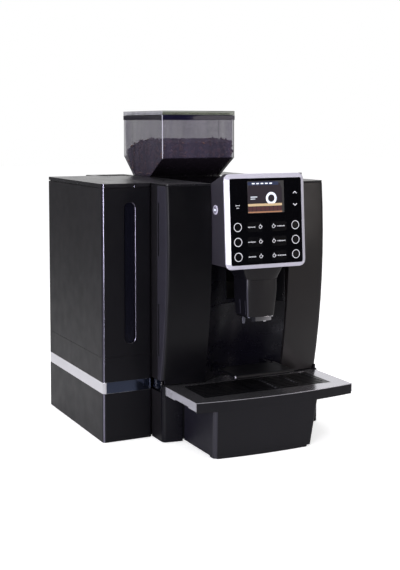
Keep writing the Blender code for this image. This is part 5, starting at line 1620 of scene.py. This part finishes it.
@dataclass
class InnerWorks(SubAssembly):
    """What the machine holds inside."""

    NODES_IN = {
        "plain_steel": ("inner_frame", "grinder_motor", "fixed_burr", "turning_burr", "brew_motor"),
        "grey_plastic": ("grinder_housing", "brew_frame", "pump"),
        "pale_plastic": ("brew_piston",),
        "cast_alloy": ("thermoblock",),
        "circuit_board": ("control_board",),
        "hose_rubber": ("hose_tank_to_pump", "hose_pump_to_heater", "hose_heater_to_brew"),
    }

    def build(self) -> None:
        """Dresses every inner solid."""
        for finish, nodes in self.NODES_IN.items():
            self.paint(finish, *nodes)


@dataclass(frozen=True)
class SoftBox:
    """One soft lamp: where it stands, how large and how strong it is."""

    name: str
    place: Place
    width: float
    height: float
    power: float
    colour: Colour = (1.0, 1.0, 1.0)
    aim: Place = (0.0, 0.0, 0.30)

    def light(self) -> None:
        """Adds the lamp and turns it to its aim."""
        lamp = bpy.data.lights.new(self.name, "AREA")
        lamp.shape = "RECTANGLE"
        lamp.size, lamp.size_y = self.width, self.height
        lamp.energy = self.power
        lamp.color = self.colour
        stand = bpy.data.objects.new(self.name, lamp)
        stand.location = self.place
        stand.rotation_euler = (Vector(self.aim) - Vector(self.place)).to_track_quat("-Z", "Y").to_euler()
        bpy.context.scene.collection.objects.link(stand)


@dataclass
class Studio:
    """The pale floor, the lamps and the surroundings that gloss reflects."""

    floor_half: float = 12.0
    floor_top: float = -0.0002
    floor_bottom: float = -0.02
    floor_rounding: float = 0.008
    floor_colour: Colour = (0.84, 0.84, 0.85)
    floor_grain: float = 0.01
    floor_grain_scale: float = 30.0
    floor_lift: float = 0.62
    floor_roughness: float = 0.8
    floor_specular: float = 0.1
    floor_front: Span = (-1.3, 0.2)
    floor_left: Span = (-1.3, -0.35)
    floor_dark_share: float = 0.10
    ambient: float = 0.50
    front_glow: float = 0.035
    back_glow: float = 0.95
    left_share: float = 0.20
    sky_front: Span = (-0.45, 0.55)
    sky_left: Span = (-0.45, 0.25)

    LAMPS = (
        SoftBox("left_front_soft_box", (-1.69, -1.79, 0.55), 0.60, 1.5, 46.0, (0.96, 0.95, 1.0)),
        SoftBox("top_soft_box", (-0.3, 0.1, 2.4), 1.6, 1.6, 26.0),
        SoftBox("right_soft_box", (1.50, -1.70, 0.75), 0.6, 1.2, 9.0, (1.0, 0.93, 0.90)),
    )

    def floor(self) -> None:
        """Lays the floor: white to the camera with the machine's shadow, dim in front for gloss."""
        half = self.floor_half
        piece = block("studio_floor", (-half, -half, self.floor_bottom), (half, half, self.floor_top))
        soften(piece, self.floor_rounding)
        recipe = Recipe("floor_paper")
        path = recipe.add("LightPath").outputs
        place = recipe.place()
        split = recipe.add("SeparateXYZ", Vector=place).outputs
        front = recipe.ramp(split["Y"], self.floor_front, self.floor_dark_share, 1.0)
        left = recipe.ramp(split["X"], self.floor_left, self.left_share, 1.0)
        dim = recipe.mix(path["Is Glossy Ray"], 1.0, recipe.combine("MULTIPLY", front, left))
        paper = recipe.vary(recipe.noise(place, self.floor_grain_scale), self.floor_colour, self.floor_grain)
        piece.data.materials.append(recipe.shade(
            Base_Color=recipe.add("VectorMath", operation="SCALE", Vector=paper, Scale=dim).outputs["Vector"],
            Emission_Strength=recipe.combine("MULTIPLY", path["Is Camera Ray"], self.floor_lift),
            Emission_Color=WHITE, Roughness=self.floor_roughness, Specular_IOR_Level=self.floor_specular))

    def surroundings(self) -> None:
        """Builds the world: white to the camera, a soft fill, and a dark front for gloss."""
        world = bpy.data.worlds.new("studio")
        bpy.context.scene.world = world
        nodes = Nodes(world)
        path = nodes.add("LightPath").outputs
        split = nodes.add("SeparateXYZ", Vector=nodes.add("TexCoord").outputs["Generated"]).outputs
        front = nodes.ramp(split["Y"], self.sky_front, self.front_glow, self.back_glow)
        left = nodes.ramp(split["X"], self.sky_left, self.left_share, 1.0)
        fill = nodes.mix(path["Is Glossy Ray"], self.ambient, nodes.combine("MULTIPLY", front, left))
        clear = nodes.combine("MAXIMUM", path["Is Camera Ray"], path["Is Transmission Ray"])
        background = nodes.tree.nodes["Background"].inputs
        nodes.feed(background["Color"], WHITE)
        nodes.feed(background["Strength"], nodes.mix(clear, fill, 1.0))

    def build(self) -> None:
        """Sets up the whole studio."""
        bpy.context.scene.view_settings.view_transform = "Standard"
        self.floor()
        self.surroundings()
        for lamp in self.LAMPS:
            lamp.light()


@dataclass
class ViewPoint:
    """The camera, from the machine's front left at about its own height."""

    place: Place = (-0.8521, -1.7716, 0.5523)
    tilt: float = 86.0
    swing: float = -26.234
    lens: float = 66.81
    film: float = 36.0
    rise: float = -0.1505
    nearest: float = 0.01

    def build(self) -> None:
        """Adds the camera and makes it the scene's own."""
        lens = bpy.data.cameras.new("camera")
        lens.lens = self.lens
        lens.sensor_width = self.film
        lens.shift_y = self.rise
        lens.clip_start = self.nearest
        camera = bpy.data.objects.new("camera", lens)
        camera.location = self.place
        camera.rotation_euler = (math.radians(self.tilt), 0.0, math.radians(self.swing))
        bpy.context.scene.collection.objects.link(camera)
        bpy.context.scene.camera = camera


def main() -> None:
    """Builds the studio and the machine in order."""
    logging.basicConfig(level=logging.INFO, format="%(message)s")
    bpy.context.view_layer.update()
    finishes = Finishes()
    ViewPoint().build()
    Studio().build()
    for kind in (Casing, WaterTank, BeanHopper, DisplayHead, CoffeeSpout, DripTray, InnerWorks):
        log.info("building %s", kind.__name__)
        kind(finishes).build()


if __name__ == "__main__":
    main()
